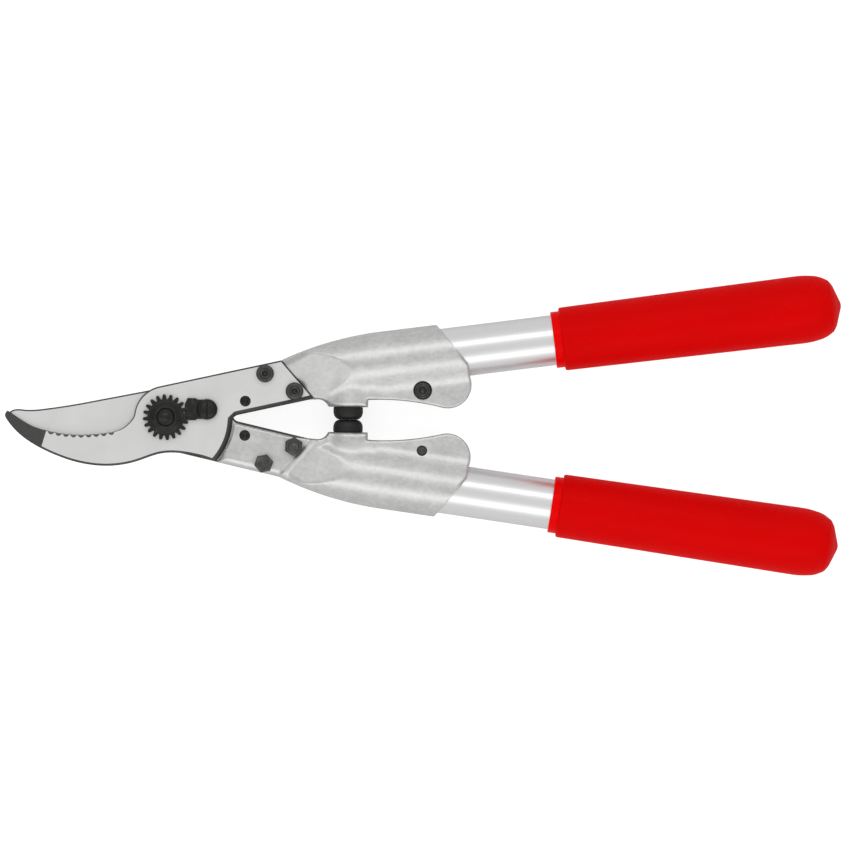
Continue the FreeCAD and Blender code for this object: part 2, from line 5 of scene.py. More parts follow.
import bmesh
import bpy
import numpy as np
from bpy.props import FloatProperty, FloatVectorProperty, IntProperty, PointerProperty
from mathutils import Matrix, Vector
from mathutils.bvhtree import BVHTree


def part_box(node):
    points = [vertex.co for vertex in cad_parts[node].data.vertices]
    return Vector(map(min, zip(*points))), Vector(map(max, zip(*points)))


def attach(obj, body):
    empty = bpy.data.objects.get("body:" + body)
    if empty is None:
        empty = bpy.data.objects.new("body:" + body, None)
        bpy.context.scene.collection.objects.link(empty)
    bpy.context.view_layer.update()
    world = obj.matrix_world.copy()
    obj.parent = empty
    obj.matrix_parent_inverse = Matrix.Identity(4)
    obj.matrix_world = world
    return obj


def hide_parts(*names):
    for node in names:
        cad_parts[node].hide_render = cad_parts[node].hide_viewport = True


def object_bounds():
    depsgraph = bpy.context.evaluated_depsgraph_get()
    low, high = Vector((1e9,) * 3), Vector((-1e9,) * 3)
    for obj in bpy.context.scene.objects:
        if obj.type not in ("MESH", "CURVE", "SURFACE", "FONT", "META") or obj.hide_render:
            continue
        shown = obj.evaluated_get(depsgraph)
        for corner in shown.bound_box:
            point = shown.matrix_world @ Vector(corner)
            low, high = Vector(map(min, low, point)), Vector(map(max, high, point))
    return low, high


bl_info = {
    "name": "Pruning Shears",
    "version": (1, 0, 0),
    "blender": (4, 5, 0),
    "location": "3D View > Sidebar > Shears",
    "description": "Builds two-hand pruning shears round their packed model",
    "category": "Object",
}

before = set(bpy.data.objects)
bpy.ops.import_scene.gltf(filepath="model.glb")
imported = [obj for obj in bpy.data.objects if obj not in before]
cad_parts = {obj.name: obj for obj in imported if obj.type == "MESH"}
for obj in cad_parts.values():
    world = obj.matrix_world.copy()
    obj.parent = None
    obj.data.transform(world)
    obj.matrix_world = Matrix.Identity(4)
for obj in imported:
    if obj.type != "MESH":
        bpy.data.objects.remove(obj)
CAD_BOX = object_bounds()
MM = 0.001
HOOK = "hook_side"
BLADE = "blade_side"
BODY = {"a": HOOK, "b": BLADE}
GRAIN_SHIFT = {"a": 0.0, "b": 500.0}       # keeps the two handles' grain apart
TANG_LEAN = math.radians(12.8)             # lean of a tang from the X axis
TUBE_WALL = 2.0
HEAD_HIGH = 3.5                            # heads of the pivot bolt and the plate screws
CLAMP_HEAD_HIGH = 3.8


# ---- places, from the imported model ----

def span(node):
    """Lowest and highest corner of a node, in millimetres."""
    low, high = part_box(node)
    return low / MM, high / MM


def middle(node):
    low, high = span(node)
    return (low + high) / 2


def rows(items, name):
    """A vector property of many items, one row for each."""
    values = np.empty(len(items) * 3)
    items.foreach_get(name, values)
    return values.reshape(-1, 3)


def points_of(node):
    """A node's vertices, in millimetres."""
    return rows(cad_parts[node].data.vertices, "co") / MM


def carried(points, matrix):
    """Rows of points moved by a matrix."""
    return points @ np.array(matrix.to_3x3()).T + np.array(matrix.translation)


def tube_axis():
    """Direction and offset of side a's tube axis, and the height of both, from the tube's box."""
    low, high = span("tube_a")
    size = high - low
    r = size.z / 2
    angle = 0.0
    for _ in range(40):
        angle = math.atan2(size.y - 2 * r * math.cos(angle), size.x - 2 * r * math.sin(angle))
    mid = (low + high) / 2
    return angle, mid.y - mid.x * math.tan(angle), mid.z, r


ANGLE, OFFSET, Z_MID, TUBE_R = tube_axis()
TO_HANDLE = Matrix.Rotation(-ANGLE, 4, "Z") @ Matrix.Translation((0, -OFFSET, -Z_MID))
HALF_TURN = Matrix.Translation((0, 0, 2 * Z_MID)) @ Matrix.Diagonal((1, -1, -1, 1))


def side_matrix(side):
    """From side a's place to the same place on a side."""
    return Matrix.Identity(4) if side == "a" else HALF_TURN


def handle_matrix(side):
    """From along, across and above the tube axis to the shears' frame."""
    return side_matrix(side) @ TO_HANDLE.inverted()


def along_tube(node):
    """Where a node of side a starts and ends along the tube axis, and its greatest radius."""
    local = carried(points_of(node), TO_HANDLE)
    return local[:, 0].min(), local[:, 0].max(), np.hypot(local[:, 1], local[:, 2]).max()


# ---- sizes and colours ----

class ShearsSizes(bpy.types.PropertyGroup):
    edge_round: FloatProperty(name="Edge round", description="Round along the plates' outline, millimetres",
                              default=0.75, min=0.05, max=1.0)
    back_round: FloatProperty(name="Back round", description="Round along the back of the hook, millimetres",
                              default=1.05, min=0.05, max=1.5)
    band: FloatProperty(name="Dark band", description="Band along the tang's inner edge, millimetres",
                        default=1.1, min=0.05, max=2.0)
    cast_cell: FloatProperty(name="Casting cell", description="Cell of the cast brackets' mesh, millimetres",
                             default=0.5, min=0.3, max=2.0)
    cast_blend: FloatProperty(name="Casting blend", description="Fillet between socket and lug, millimetres",
                              default=5.0, min=0.5, max=10.0)
    ridge_high: FloatProperty(name="Ridge height", description="Height of the ridge behind the nuts, millimetres",
                              default=0.9, min=0.0, max=2.0)
    turns: IntProperty(name="Lathe steps", description="Steps round a turned piece", default=128, min=16, max=256)
    tooth_tip: FloatProperty(name="Tooth tip", description="Width of a nut tooth at its tip, millimetres",
                             default=1.5, min=0.3, max=2.0)
    view_width: FloatProperty(name="View width", description="Width that the camera sees at the plates",
                              default=0.406, unit="LENGTH", subtype="DISTANCE")
    view_height: FloatProperty(name="Camera height", description="Height of the camera over the plates",
                               default=4.0, unit="LENGTH", subtype="DISTANCE")


class ShearsColours(bpy.types.PropertyGroup):
    steel: FloatVectorProperty(name="Ground steel", description="Ground faces of the plates", subtype="COLOR",
                               size=3, default=(0.83, 0.83, 0.82), min=0, max=1)
    scale: FloatVectorProperty(name="Dark edge", description="Unground edges of the plates", subtype="COLOR",
                               size=3, default=(0.075, 0.075, 0.073), min=0, max=1)
    cast: FloatVectorProperty(name="Cast aluminium", description="Tumbled brackets", subtype="COLOR",
                              size=3, default=(0.69, 0.69, 0.68), min=0, max=1)
    tube: FloatVectorProperty(name="Anodised tube", description="Handle tubes", subtype="COLOR",
                              size=3, default=(0.84, 0.84, 0.85), min=0, max=1)
    vinyl: FloatVectorProperty(name="Red vinyl", description="Grips", subtype="COLOR",
                               size=3, default=(0.80, 0.001, 0.001), min=0, max=1)
    rubber: FloatVectorProperty(name="Black rubber", description="Shock absorbers", subtype="COLOR",
                                size=3, default=(0.009, 0.009, 0.009), min=0, max=1)
    oxide: FloatVectorProperty(name="Black oxide", description="Toothed nut, its segment and the pivot bolt",
                               subtype="COLOR", size=3, default=(0.024, 0.025, 0.022), min=0, max=1)
    bolts: FloatVectorProperty(name="Worn oxide", description="Plate screws, nuts, dowels and clamp screws",
                               subtype="COLOR", size=3, default=(0.075, 0.076, 0.073), min=0, max=1)
    floor: FloatVectorProperty(name="Floor", description="Pale floor", subtype="COLOR",
                               size=3, default=(0.70, 0.70, 0.70), min=0, max=1)


# ---- materials ----

class Wire:
    """A node's output, so that maths between nodes reads as an expression."""

    def __init__(self, tree, socket=None):
        self.tree = tree
        self.socket = socket

    def make(self, kind, settings, inputs, output=0):
        """Adds a node: its settings first, then the values or links of its sockets."""
        node = self.tree.nodes.new(kind)
        for name, value in settings.items():
            if name == "stops":
                ramp = node.color_ramp.elements
                while len(ramp) > 1:
                    ramp.remove(ramp[-1])
                for k, (place, shade) in enumerate(value):
                    stop = ramp[0] if k == 0 else ramp.new(place)
                    stop.position = place
                    stop.color = (shade, shade, shade, 1)
            else:
                setattr(node, name, value)
        for key, value in inputs.items():
            if isinstance(value, Wire):
                self.tree.links.new(value.socket, node.inputs[key])
            else:
                node.inputs[key].default_value = value
        return Wire(self.tree, node.outputs[output])

    def maths(self, operation, first, second):
        return self.make("ShaderNodeMath", {"operation": operation}, {0: first, 1: second})

    def __add__(self, other):
        return self.maths("ADD", self, other)

    def __sub__(self, other):
        return self.maths("SUBTRACT", self, other)

    def __mul__(self, other):
        return self.maths("MULTIPLY", self, other)

    def ramp(self, *stops):
        """The value read off a ramp of (place, shade) stops."""
        return self.make("ShaderNodeValToRGB", {"stops": stops}, {"Fac": self})

    def noise(self, place, scale, detail=3.0, rough=0.55):
        return self.make("ShaderNodeTexNoise", {"noise_dimensions": "3D"},
                         {"Vector": place, "Scale": scale, "Detail": detail, "Roughness": rough}, "Fac")

    def mix(self, factor, first, second):
        """A mix of two colours, each a link or three numbers."""
        def colour(c):
            return c if isinstance(c, Wire) else (*c, 1.0)
        return self.make("ShaderNodeMix", {"data_type": "RGBA"}, {0: factor, 6: colour(first), 7: colour(second)}, 2)

    def bump(self, height, distance, strength=1.0):
        return self.make("ShaderNodeBump", {}, {"Height": height, "Distance": distance, "Strength": strength})


def tinted(colour, gain):
    return tuple(min(1.0, c * gain) for c in colour)


def finish_of(name, constants):
    """A new material: its shader, and a wire that starts its maths."""
    material = bpy.data.materials.new(name)
    material.use_nodes = True
    tree = material.node_tree
    tree.nodes.clear()
    shader = tree.nodes.new("ShaderNodeBsdfPrincipled")
    output = tree.nodes.new("ShaderNodeOutputMaterial")
    tree.links.new(shader.outputs[0], output.inputs[0])
    for key, value in constants.items():
        shader.inputs[key].default_value = value
    return material, shader, Wire(tree)


def feed(shader, wire, links):
    """Links what varies over the surface to the shader."""
    for key, value in links.items():
        wire.tree.links.new(value.socket, shader.inputs[key])


def here(wire, size=(1, 1, 1), turn=0.0):
    """Place in the shears' frame, metres, stretched and turned about Z."""
    place = wire.make("ShaderNodeTexCoord", {}, {}, "Object")
    place = wire.make("ShaderNodeMapping", {"vector_type": "POINT"}, {"Vector": place, "Rotation": (0, 0, turn)})
    return wire.make("ShaderNodeMapping", {"vector_type": "POINT"}, {"Vector": place, "Scale": size})


def on_handle(wire, size=(1, 1, 1)):
    """Place along, across and above the tube axis, metres, stretched."""
    place = wire.make("ShaderNodeAttribute", {"attribute_name": "handle_place"}, {}, "Vector")
    return wire.make("ShaderNodeMapping", {"vector_type": "POINT"}, {"Vector": place, "Scale": size})


def ground_steel(colour):
    """Flat ground plate: fine cross grain, faint clouds and a few small scratches."""
    material, shader, wire = finish_of("ground_steel", {"Metallic": 1.0})
    fine = wire.noise(here(wire, (0.35, 5.0, 1.0), 0.25), 900.0, 4.0, 0.7)
    cloud = wire.noise(here(wire), 60.0, 2.0)
    scratch = wire.noise(here(wire, (0.12, 7.0, 1.0), -0.6), 420.0, 1.0).ramp((0.70, 0.0), (0.76, 1.0))
    shade = (fine * 0.5 + cloud * 0.5)
    base = wire.mix(shade.ramp((0.3, 0.0), (0.7, 1.0)), tinted(colour, 0.94), tinted(colour, 1.05))
    base = wire.mix(scratch * 0.22, base, tinted(colour, 0.7))
    feed(shader, wire, {"Base Color": base, "Roughness": fine * 0.10 + cloud * 0.08 + 0.27,
                        "Normal": wire.bump(fine + scratch * 0.5, 0.00002, 0.35)})
    return material


def dark_edge(colour):
    """Unground edge: dark scale with a few rubbed spots."""
    material, shader, wire = finish_of("dark_edge", {"Metallic": 0.55})
    grain = wire.noise(here(wire), 700.0, 4.0, 0.6)
    rubbed = wire.noise(here(wire), 160.0, 3.0).ramp((0.55, 0.0), (0.75, 1.0))
    base = wire.mix(grain, tinted(colour, 0.7), tinted(colour, 1.3))
    base = wire.mix(rubbed * 0.3, base, tinted(colour, 2.2))
    feed(shader, wire, {"Base Color": base, "Roughness": grain * 0.15 + 0.42,
                        "Normal": wire.bump(grain, 0.00004, 0.5)})
    return material


def cast_aluminium(colour):
    """Tumbled casting: soft mottle, small pits and faint streaks along the handle."""
    material, shader, wire = finish_of("cast_aluminium", {"Metallic": 1.0})
    mottle = wire.noise(on_handle(wire), 480.0, 3.0, 0.62)
    patch = wire.noise(on_handle(wire), 110.0, 3.0, 0.5)
    streak = wire.noise(on_handle(wire, (0.10, 1.0, 1.0)), 330.0, 2.0)
    pits = wire.noise(on_handle(wire), 1300.0, 2.0, 0.5).ramp((0.27, 1.0), (0.33, 0.0))
    tone = (mottle * 0.55 + patch * 0.3 + streak * 0.25).ramp((0.40, 0.0), (0.72, 1.0))
    base = wire.mix(tone, tinted(colour, 0.86), tinted(colour, 1.1))
    base = wire.mix(pits * 0.35, base, tinted(colour, 0.5))
    height = mottle * 0.7 + patch * 0.5 - pits * 0.3
    feed(shader, wire, {"Base Color": base, "Roughness": mottle * 0.16 + patch * 0.10 + 0.29,
                        "Normal": wire.bump(height, 0.00014, 0.55)})
    return material


def anodised_tube(colour):
    """Drawn tube, satin anodised: fine lines along it."""
    material, shader, wire = finish_of("anodised_tube", {"Metallic": 1.0})
    lines = wire.noise(on_handle(wire, (0.02, 1.0, 1.0)), 1500.0, 3.0, 0.6)
    speck = wire.noise(on_handle(wire), 2200.0, 2.0, 0.6)
    base = wire.mix(lines * 0.6 + speck * 0.4, tinted(colour, 0.92), tinted(colour, 1.06))
    feed(shader, wire, {"Base Color": base, "Roughness": lines * 0.08 + speck * 0.05 + 0.27,
                        "Normal": wire.bump(lines + speck * 0.5, 0.00002, 0.4)})
    return material


def red_vinyl(colour, name, shine):
    """Dipped vinyl: orange peel, faint depth of colour, a little dust."""
    material, shader, wire = finish_of(name, {"Metallic": 0.0, "Specular IOR Level": 0.03})
    peel = wire.noise(on_handle(wire), 620.0, 2.0, 0.5)
    cloud = wire.noise(on_handle(wire, (0.4, 1.0, 1.0)), 70.0, 2.0)
    dust = wire.noise(on_handle(wire), 3200.0, 1.0).ramp((0.70, 0.0), (0.80, 1.0))
    base = wire.mix(cloud, tinted(colour, 0.93), tinted(colour, 1.05))
    base = wire.mix(dust * 0.10, base, (0.9, 0.35, 0.3))
    feed(shader, wire, {"Base Color": base, "Roughness": peel * 0.14 + shine,
                        "Normal": wire.bump(peel * 0.8 + dust * 0.3, 0.00008, 0.35)})
    return material


def black_rubber(colour):
    """Moulded rubber with a dusty bloom."""
    material, shader, wire = finish_of("black_rubber", {"Metallic": 0.0, "Specular IOR Level": 0.4})
    grain = wire.noise(here(wire), 1500.0, 3.0, 0.6)
    bloom = wire.noise(here(wire), 220.0, 3.0).ramp((0.45, 0.0), (0.8, 1.0))
    base = wire.mix(bloom * 0.4 + grain * 0.2, colour, tinted(colour, 2.6))
    feed(shader, wire, {"Base Color": base, "Roughness": grain * 0.15 + 0.42,
                        "Normal": wire.bump(grain, 0.00005, 0.5)})
    return material


def black_oxide(colour, name):
    """Oiled black steel: satin, slightly worn in random patches."""
    material, shader, wire = finish_of(name, {"Metallic": 0.7})
    grain = wire.noise(here(wire), 1100.0, 3.0, 0.6)
    worn = wire.noise(here(wire), 330.0, 3.0).ramp((0.52, 0.0), (0.74, 1.0))
    base = wire.mix(worn * 0.6 + grain * 0.25, tinted(colour, 0.8), tinted(colour, 2.4))
    feed(shader, wire, {"Base Color": base, "Roughness": grain * 0.14 + 0.30,
                        "Normal": wire.bump(grain, 0.00004, 0.5)})
    return material


MADE = {}


def material(name):
    """One of the shears' materials, made when it is first asked for."""
    if name not in MADE:
        colours = bpy.context.scene.shears_colours
        makers = {
            "ground_steel": lambda: ground_steel(tuple(colours.steel)),
            "dark_edge": lambda: dark_edge(tuple(colours.scale)),
            "cast_aluminium": lambda: cast_aluminium(tuple(colours.cast)),
            "anodised_tube": lambda: anodised_tube(tuple(colours.tube)),
            "red_vinyl": lambda: red_vinyl(tuple(colours.vinyl), "red_vinyl", 0.40),
            "red_collar": lambda: red_vinyl(tinted(colours.vinyl, 1.2), "red_collar", 0.18),
            "black_rubber": lambda: black_rubber(tuple(colours.rubber)),
            "black_oxide": lambda: black_oxide(tuple(colours.oxide), "black_oxide"),
            "worn_oxide": lambda: black_oxide(tuple(colours.bolts), "worn_oxide"),
        }
        MADE[name] = makers[name]()
    return MADE[name]


# ---- mesh helpers ----

def put(name, mesh, body, nodes, materials):
    """Links a finished mesh, in metres, as a piece that rides on a body and stands for nodes."""
    piece = bpy.data.objects.new(name, mesh)
    bpy.context.scene.collection.objects.link(piece)
    if mesh.materials:
        mesh.materials.clear()
    for m in materials:
        mesh.materials.append(material(m))
    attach(piece, body)
    if nodes:
        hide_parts(*nodes)
    return piece


def handle_place(mesh, side):
    """Stores each point's place along, across and above the tube axis as an attribute, in metres."""
    local = carried(rows(mesh.vertices, "co") / MM, handle_matrix(side).inverted())
    local[:, 0] += GRAIN_SHIFT[side]
    attribute = mesh.attributes.new("handle_place", "FLOAT_VECTOR", "POINT")
    attribute.data.foreach_set("vector", (local * MM).ravel())


def smooth(mesh, angle=35.0):
    """Smooth shading, with sharp edges kept past an angle."""
    mesh.polygons.foreach_set("use_smooth", [True] * len(mesh.polygons))
    mesh.set_sharp_from_angle(angle=math.radians(angle))
    mesh.update()


def part_finishes(mesh):
    """Sharp edges where two finishes meet."""
    seen = {}
    sharp = mesh.attributes.get("sharp_edge") or mesh.attributes.new("sharp_edge", "BOOLEAN", "EDGE")
    for polygon in mesh.polygons:
        for loop in polygon.loop_indices:
            edge = mesh.loops[loop].edge_index
            if seen.setdefault(edge, polygon.material_index) != polygon.material_index:
                sharp.data[edge].value = True


def mesh_of(bm, name, matrix=None, angle=35.0):
    """A mesh from bmesh work in millimetres, moved by matrix and scaled to metres."""
    if matrix is not None:
        bm.transform(matrix)
    bmesh.ops.recalc_face_normals(bm, faces=bm.faces)
    bm.transform(Matrix.Scale(MM, 4))
    mesh = bpy.data.meshes.new(name)
    bm.to_mesh(mesh)
    bm.free()
    smooth(mesh, angle)
    return mesh


def soften(profile, radii):
    """Rounds the inner corners of a profile: radii maps a corner's index to how far the round reaches."""
    out, steps = [], 5
    for k, point in enumerate(profile):
        reach = radii.get(k, 0.0)
        if reach <= 0 or k in (0, len(profile) - 1):
            out.append(point)
            continue
        corner = Vector(point)
        start, end = (corner + (Vector(profile[k + i]) - corner).normalized() * reach for i in (-1, 1))
        for i in range(steps + 1):
            t = i / steps
            out.append(tuple(start * (1 - t) ** 2 + corner * (2 * t * (1 - t)) + end * t ** 2))
    return out


def lathe(profile, steps, closed=False):
    """A bmesh turned about X from (x, radius) points. Points on the axis become poles."""
    bm = bmesh.new()
    rings = []
    for x, r in profile:
        if r < 1e-6:
            rings.append([bm.verts.new((x, 0, 0))])
        else:
            turns = [2 * math.pi * k / steps for k in range(steps)]
            rings.append([bm.verts.new((x, r * math.cos(a), r * math.sin(a))) for a in turns])
    pairs = list(zip(rings, rings[1:])) + ([(rings[-1], rings[0])] if closed else [])
    for one, two in pairs:
        for k in range(steps):
            n = (k + 1) % steps
            if len(one) == 1 and len(two) > 1:
                bm.faces.new((one[0], two[k], two[n]))
            elif len(two) == 1 and len(one) > 1:
                bm.faces.new((one[k], two[0], one[n]))
            elif len(one) > 1:
                bm.faces.new((one[k], two[k], two[n], one[n]))
    return bm


UPRIGHT_Z = Matrix(((0, 1, 0, 0), (0, 0, 1, 0), (1, 0, 0, 0), (0, 0, 0, 1)))     # a turned profile's X becomes Z


def prism(bm, outline, z0, z1):
    """Adds a closed prism over an outline of (x, y) points."""
    low = [bm.verts.new((x, y, z0)) for x, y in outline]
    high = [bm.verts.new((x, y, z1)) for x, y in outline]
    bm.faces.new(list(reversed(low)))
    bm.faces.new(high)
    for k in range(len(low)):
        n = (k + 1) % len(low)
        bm.faces.new((low[k], low[n], high[n], high[k]))


def worked(mesh, kind, settings, inputs=None):
    """The mesh that one modifier makes of a mesh. A mesh among the settings or inputs joins as an object."""
    helpers = []

    def linked(value):
        if not isinstance(value, bpy.types.Mesh):
            return value
        helpers.append(bpy.data.objects.new("helper", value))
        bpy.context.scene.collection.objects.link(helpers[-1])
        return helpers[-1]

    whole = linked(mesh)
    modifier = whole.modifiers.new("work", kind)
    for name, value in settings.items():
        setattr(modifier, name, linked(value))
    for name, value in (inputs or {}).items():
        modifier[name] = linked(value)
    bpy.context.view_layer.update()
    result = bpy.data.meshes.new_from_object(whole.evaluated_get(bpy.context.evaluated_depsgraph_get()))
    whole.modifiers.clear()
    for helper in helpers:
        bpy.data.objects.remove(helper)
    return result


def in_metres(matrix):
    """A matrix made for millimetres, for use on a mesh in metres."""
    return Matrix.Scale(MM, 4) @ matrix @ Matrix.Scale(1 / MM, 4)


def cut(target, cutter):
    """Cuts a mesh in metres with a bmesh in millimetres and returns the result."""
    bmesh.ops.recalc_face_normals(cutter, faces=cutter.faces)
    cutter.transform(Matrix.Scale(MM, 4))
    tool = bpy.data.meshes.new("cutter")
    cutter.to_mesh(tool)
    cutter.free()
    result = worked(target, "BOOLEAN", {"operation": "DIFFERENCE", "solver": "MANIFOLD", "object": tool})
    if len(result.polygons) < 10:
        raise RuntimeError("a cut left nothing of its mesh")
    return result


def cylinder(bm, r, start, end, steps=64):
    """Adds a closed cylinder between two points."""
    start, end = Vector(start), Vector(end)
    way = end - start
    turn = way.to_track_quat("Z", "Y").to_matrix().to_4x4()
    bmesh.ops.create_cone(bm, cap_ends=True, segments=steps, radius1=r, radius2=r, depth=way.length,
                          matrix=Matrix.Translation((start + end) / 2) @ turn)


def copied(node):
    """A merged copy of a node's mesh as a bmesh, in millimetres, with its flat faces whole."""
    bm = bmesh.new()
    bm.from_mesh(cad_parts[node].data)
    bm.transform(Matrix.Scale(1 / MM, 4))
    bmesh.ops.remove_doubles(bm, verts=bm.verts, dist=0.00002)
    bmesh.ops.dissolve_limit(bm, angle_limit=math.radians(0.4), verts=bm.verts, edges=bm.edges)
    return bm


BEVEL_PROFILE = 0.6


def bevelled(bm, edges, width):
    """Rounds some edges of a bmesh."""
    bmesh.ops.bevel(bm, geom=edges, offset=width, segments=2, profile=BEVEL_PROFILE, affect="EDGES",
                    clamp_overlap=False, loop_slide=True)


def bevelled_by_width(bm, widths):
    """A bmesh whose edges are rounded in one go: widths maps an edge's number to its width in millimetres."""
    widest = max(widths.values())
    weight = bm.edges.layers.float.new("bevel_weight_edge")
    bm.edges.ensure_lookup_table()
    for number, width in widths.items():
        bm.edges[number][weight] = width / widest
    blank = bpy.data.meshes.new("bevel_blank")
    bm.to_mesh(blank)
    bm.free()
    result = bmesh.new()
    result.from_mesh(worked(blank, "BEVEL", {
        "limit_method": "WEIGHT", "offset_type": "OFFSET", "width": widest, "segments": 2, "profile": BEVEL_PROFILE,
        "use_clamp_overlap": False}))
    return result


# ---- plates ----

GROUND, EDGE = 0, 1
NEAR_SCREW, NEAR_PIVOT = 3.2, 4.3       # reach of a hole's rim from its middle
TANG_END_ROUND = 0.25


def plate_mesh(node, hook):
    """A blade with its outline rounded, ground faces bright and the rest dark."""
    sizes = bpy.context.scene.shears_sizes
    corner, flat, level = math.radians(41), 0.9995, 0.01
    low, high = span(node)
    bm = copied(node)
    bm.normal_update()
    side = "a" if hook else "b"
    holes = [(middle(n + side).xy, NEAR_SCREW) for n in ("front_bolt_", "rear_bolt_", "dowel_")]
    holes += [(Vector((0, 0)), NEAR_PIVOT), (middle("segment_screw").xy, NEAR_SCREW)]
    widths = {}
    bm.edges.index_update()
    for e in bm.edges:
        if len(e.link_faces) != 2 or e.calc_face_angle(0.0) < corner:
            continue
        mid = (e.verts[0].co + e.verts[1].co) / 2
        on_back = abs(mid.z - low.z) < level
        if not on_back and abs(mid.z - high.z) > level:
            continue
        shearing = on_back if hook else not on_back
        if (hook and on_back and in_notches(mid)) or (shearing and in_jaw(mid, hook)) or in_hole(mid, holes):
            continue
        widths[e.index] = sizes.edge_round
        if hook and not on_back and mid.x < -8 and above_hook_line(mid):
            widths[e.index] *= jaw_share(mid)
        elif not on_back:
            if in_throat(mid, hook):
                widths[e.index] = sizes.band
            elif hook and on_hook_back(mid, low):
                widths[e.index] = sizes.back_round
            elif mid.x > 50 and abs(past_tang(mid.x, mid.y if hook else -mid.y)) < 0.5:
                widths[e.index] = TANG_END_ROUND
    bm = bevelled_by_width(bm, widths)
    bm.normal_update()
    for f in bm.faces:
        n = f.normal
        centre = f.calc_center_median()
        bevel = not hook and -0.93 < n.z < -0.45 and centre.x < -8 and f.calc_area() > 0.6
        f.material_index = GROUND if abs(n.z) > flat or bevel else EDGE
    bmesh.ops.triangulate(bm, faces=[f for f in bm.faces if len(f.verts) > 4])
    mesh = mesh_of(bm, node + "_plate", angle=25.0)
    part_finishes(mesh)
    return mesh


def in_hole(p, holes):
    """True on the rim of one of the plate's holes, which screws and pins cover."""
    return any((p.xy - centre).length < r for centre, r in holes)


NOTCHES = (-58.0, -23.5)        # the notches lie between these places along the hook


def in_notches(p):
    """True near the notches along the hook's inner edge."""
    return NOTCHES[0] < p.x < NOTCHES[1] and -12.0 < p.y < -3.0


def jaw_share(p):
    """Share of the full edge round along the hook's inner edge, which thins out towards the notches."""
    away = max(NOTCHES[0] - p.x, p.x - NOTCHES[1], 0.0)
    return min(1.0, 0.3 + 0.05 * away)


def in_jaw(p, hook):
    """True along the edge that shears, which stays sharp."""
    if hook:
        return p.x < -16 and above_hook_line(p)
    return p.x < -13 and p.y < 1.2


def above_hook_line(p):
    """True on the jaw's side of a line through the middle of the hook."""
    return p.y > -14 + 0.6 * max(0.0, -p.x - 55)


def on_hook_back(p, low):
    """True along the back of the hook, from its tip round to the hub."""
    return low.x * 0.84 < p.x < 26 and p.y < -9.0 + 0.55 * max(0.0, -p.x - 55)


def in_throat(p, hook):
    """True along the inner edge of the tang and round the throat beside the hub."""
    across = p.x * math.sin(TANG_LEAN) + (-p.y if hook else p.y) * math.cos(TANG_LEAN)
    return p.x > (15 if hook else 33) and across > 5.85


class SHEARS_OT_plates(bpy.types.Operator):
    """Makes the hook-shaped counter-blade and the cutting blade"""
    bl_idname = "shears.plates"
    bl_label = "Blades"

    def execute(self, context):
        put("hook_plate", plate_mesh("counter_blade", True), HOOK, ["counter_blade"],
            ["ground_steel", "dark_edge"])
        put("cutting_plate", plate_mesh("cutting_blade", False), BLADE, ["cutting_blade"],
            ["ground_steel", "dark_edge"])
        return {"FINISHED"}


# ---- cast brackets ----

def smooth_min(a, b, k):
    h = np.clip(0.5 + 0.5 * (b - a) / k, 0, 1)
    return b + (a - b) * h - k * h * (1 - h)


def smooth_max(a, b, k):
    return -smooth_min(-a, -b, k)


def outline_segments(tree):
    """The bracket's outline from above, as loose straight pieces: its upright walls with metal on one side only."""
    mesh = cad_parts["casting_a"].data
    mesh.calc_loop_triangles()
    corner = points_of("casting_a")[np.array([t.vertices[:] for t in mesh.loop_triangles])]
    normal = np.cross(corner[:, 1] - corner[:, 0], corner[:, 2] - corner[:, 0])
    upright = np.abs(normal[:, 2]) < 0.002 * np.linalg.norm(normal, axis=1)
    holes = [middle(node) for node in UPRIGHT_HOLES]
    pieces = set()
    for triangle in corner[upright]:
        for p, q in zip(triangle, np.roll(triangle, 1, axis=0)):
            a, b = Vector((*p[:2], 0)), Vector((*q[:2], 0))
            if (a - b).length < 0.004:
                continue
            mid, across = (a + b) / 2, Vector((a.y - b.y, b.x - a.x, 0)).normalized() * 0.03
            near_hole = any((mid.xy - hole.xy).length < NEAR_SCREW for hole in holes)
            if not near_hole and covered(tree, mid + across) != covered(tree, mid - across):
                pieces.add((tuple(a.xy), tuple(b.xy)))
    return np.array(sorted(pieces))


UPRIGHT_HOLES = ("front_bolt_a", "rear_bolt_a", "dowel_a", "clamp_screw_a")


def covered(tree, p):
    """True where the bracket lies under or over a point of the plan."""
    return tree.ray_cast(Vector((p[0], p[1], 200)), Vector((0, 0, -1)))[0] is not None


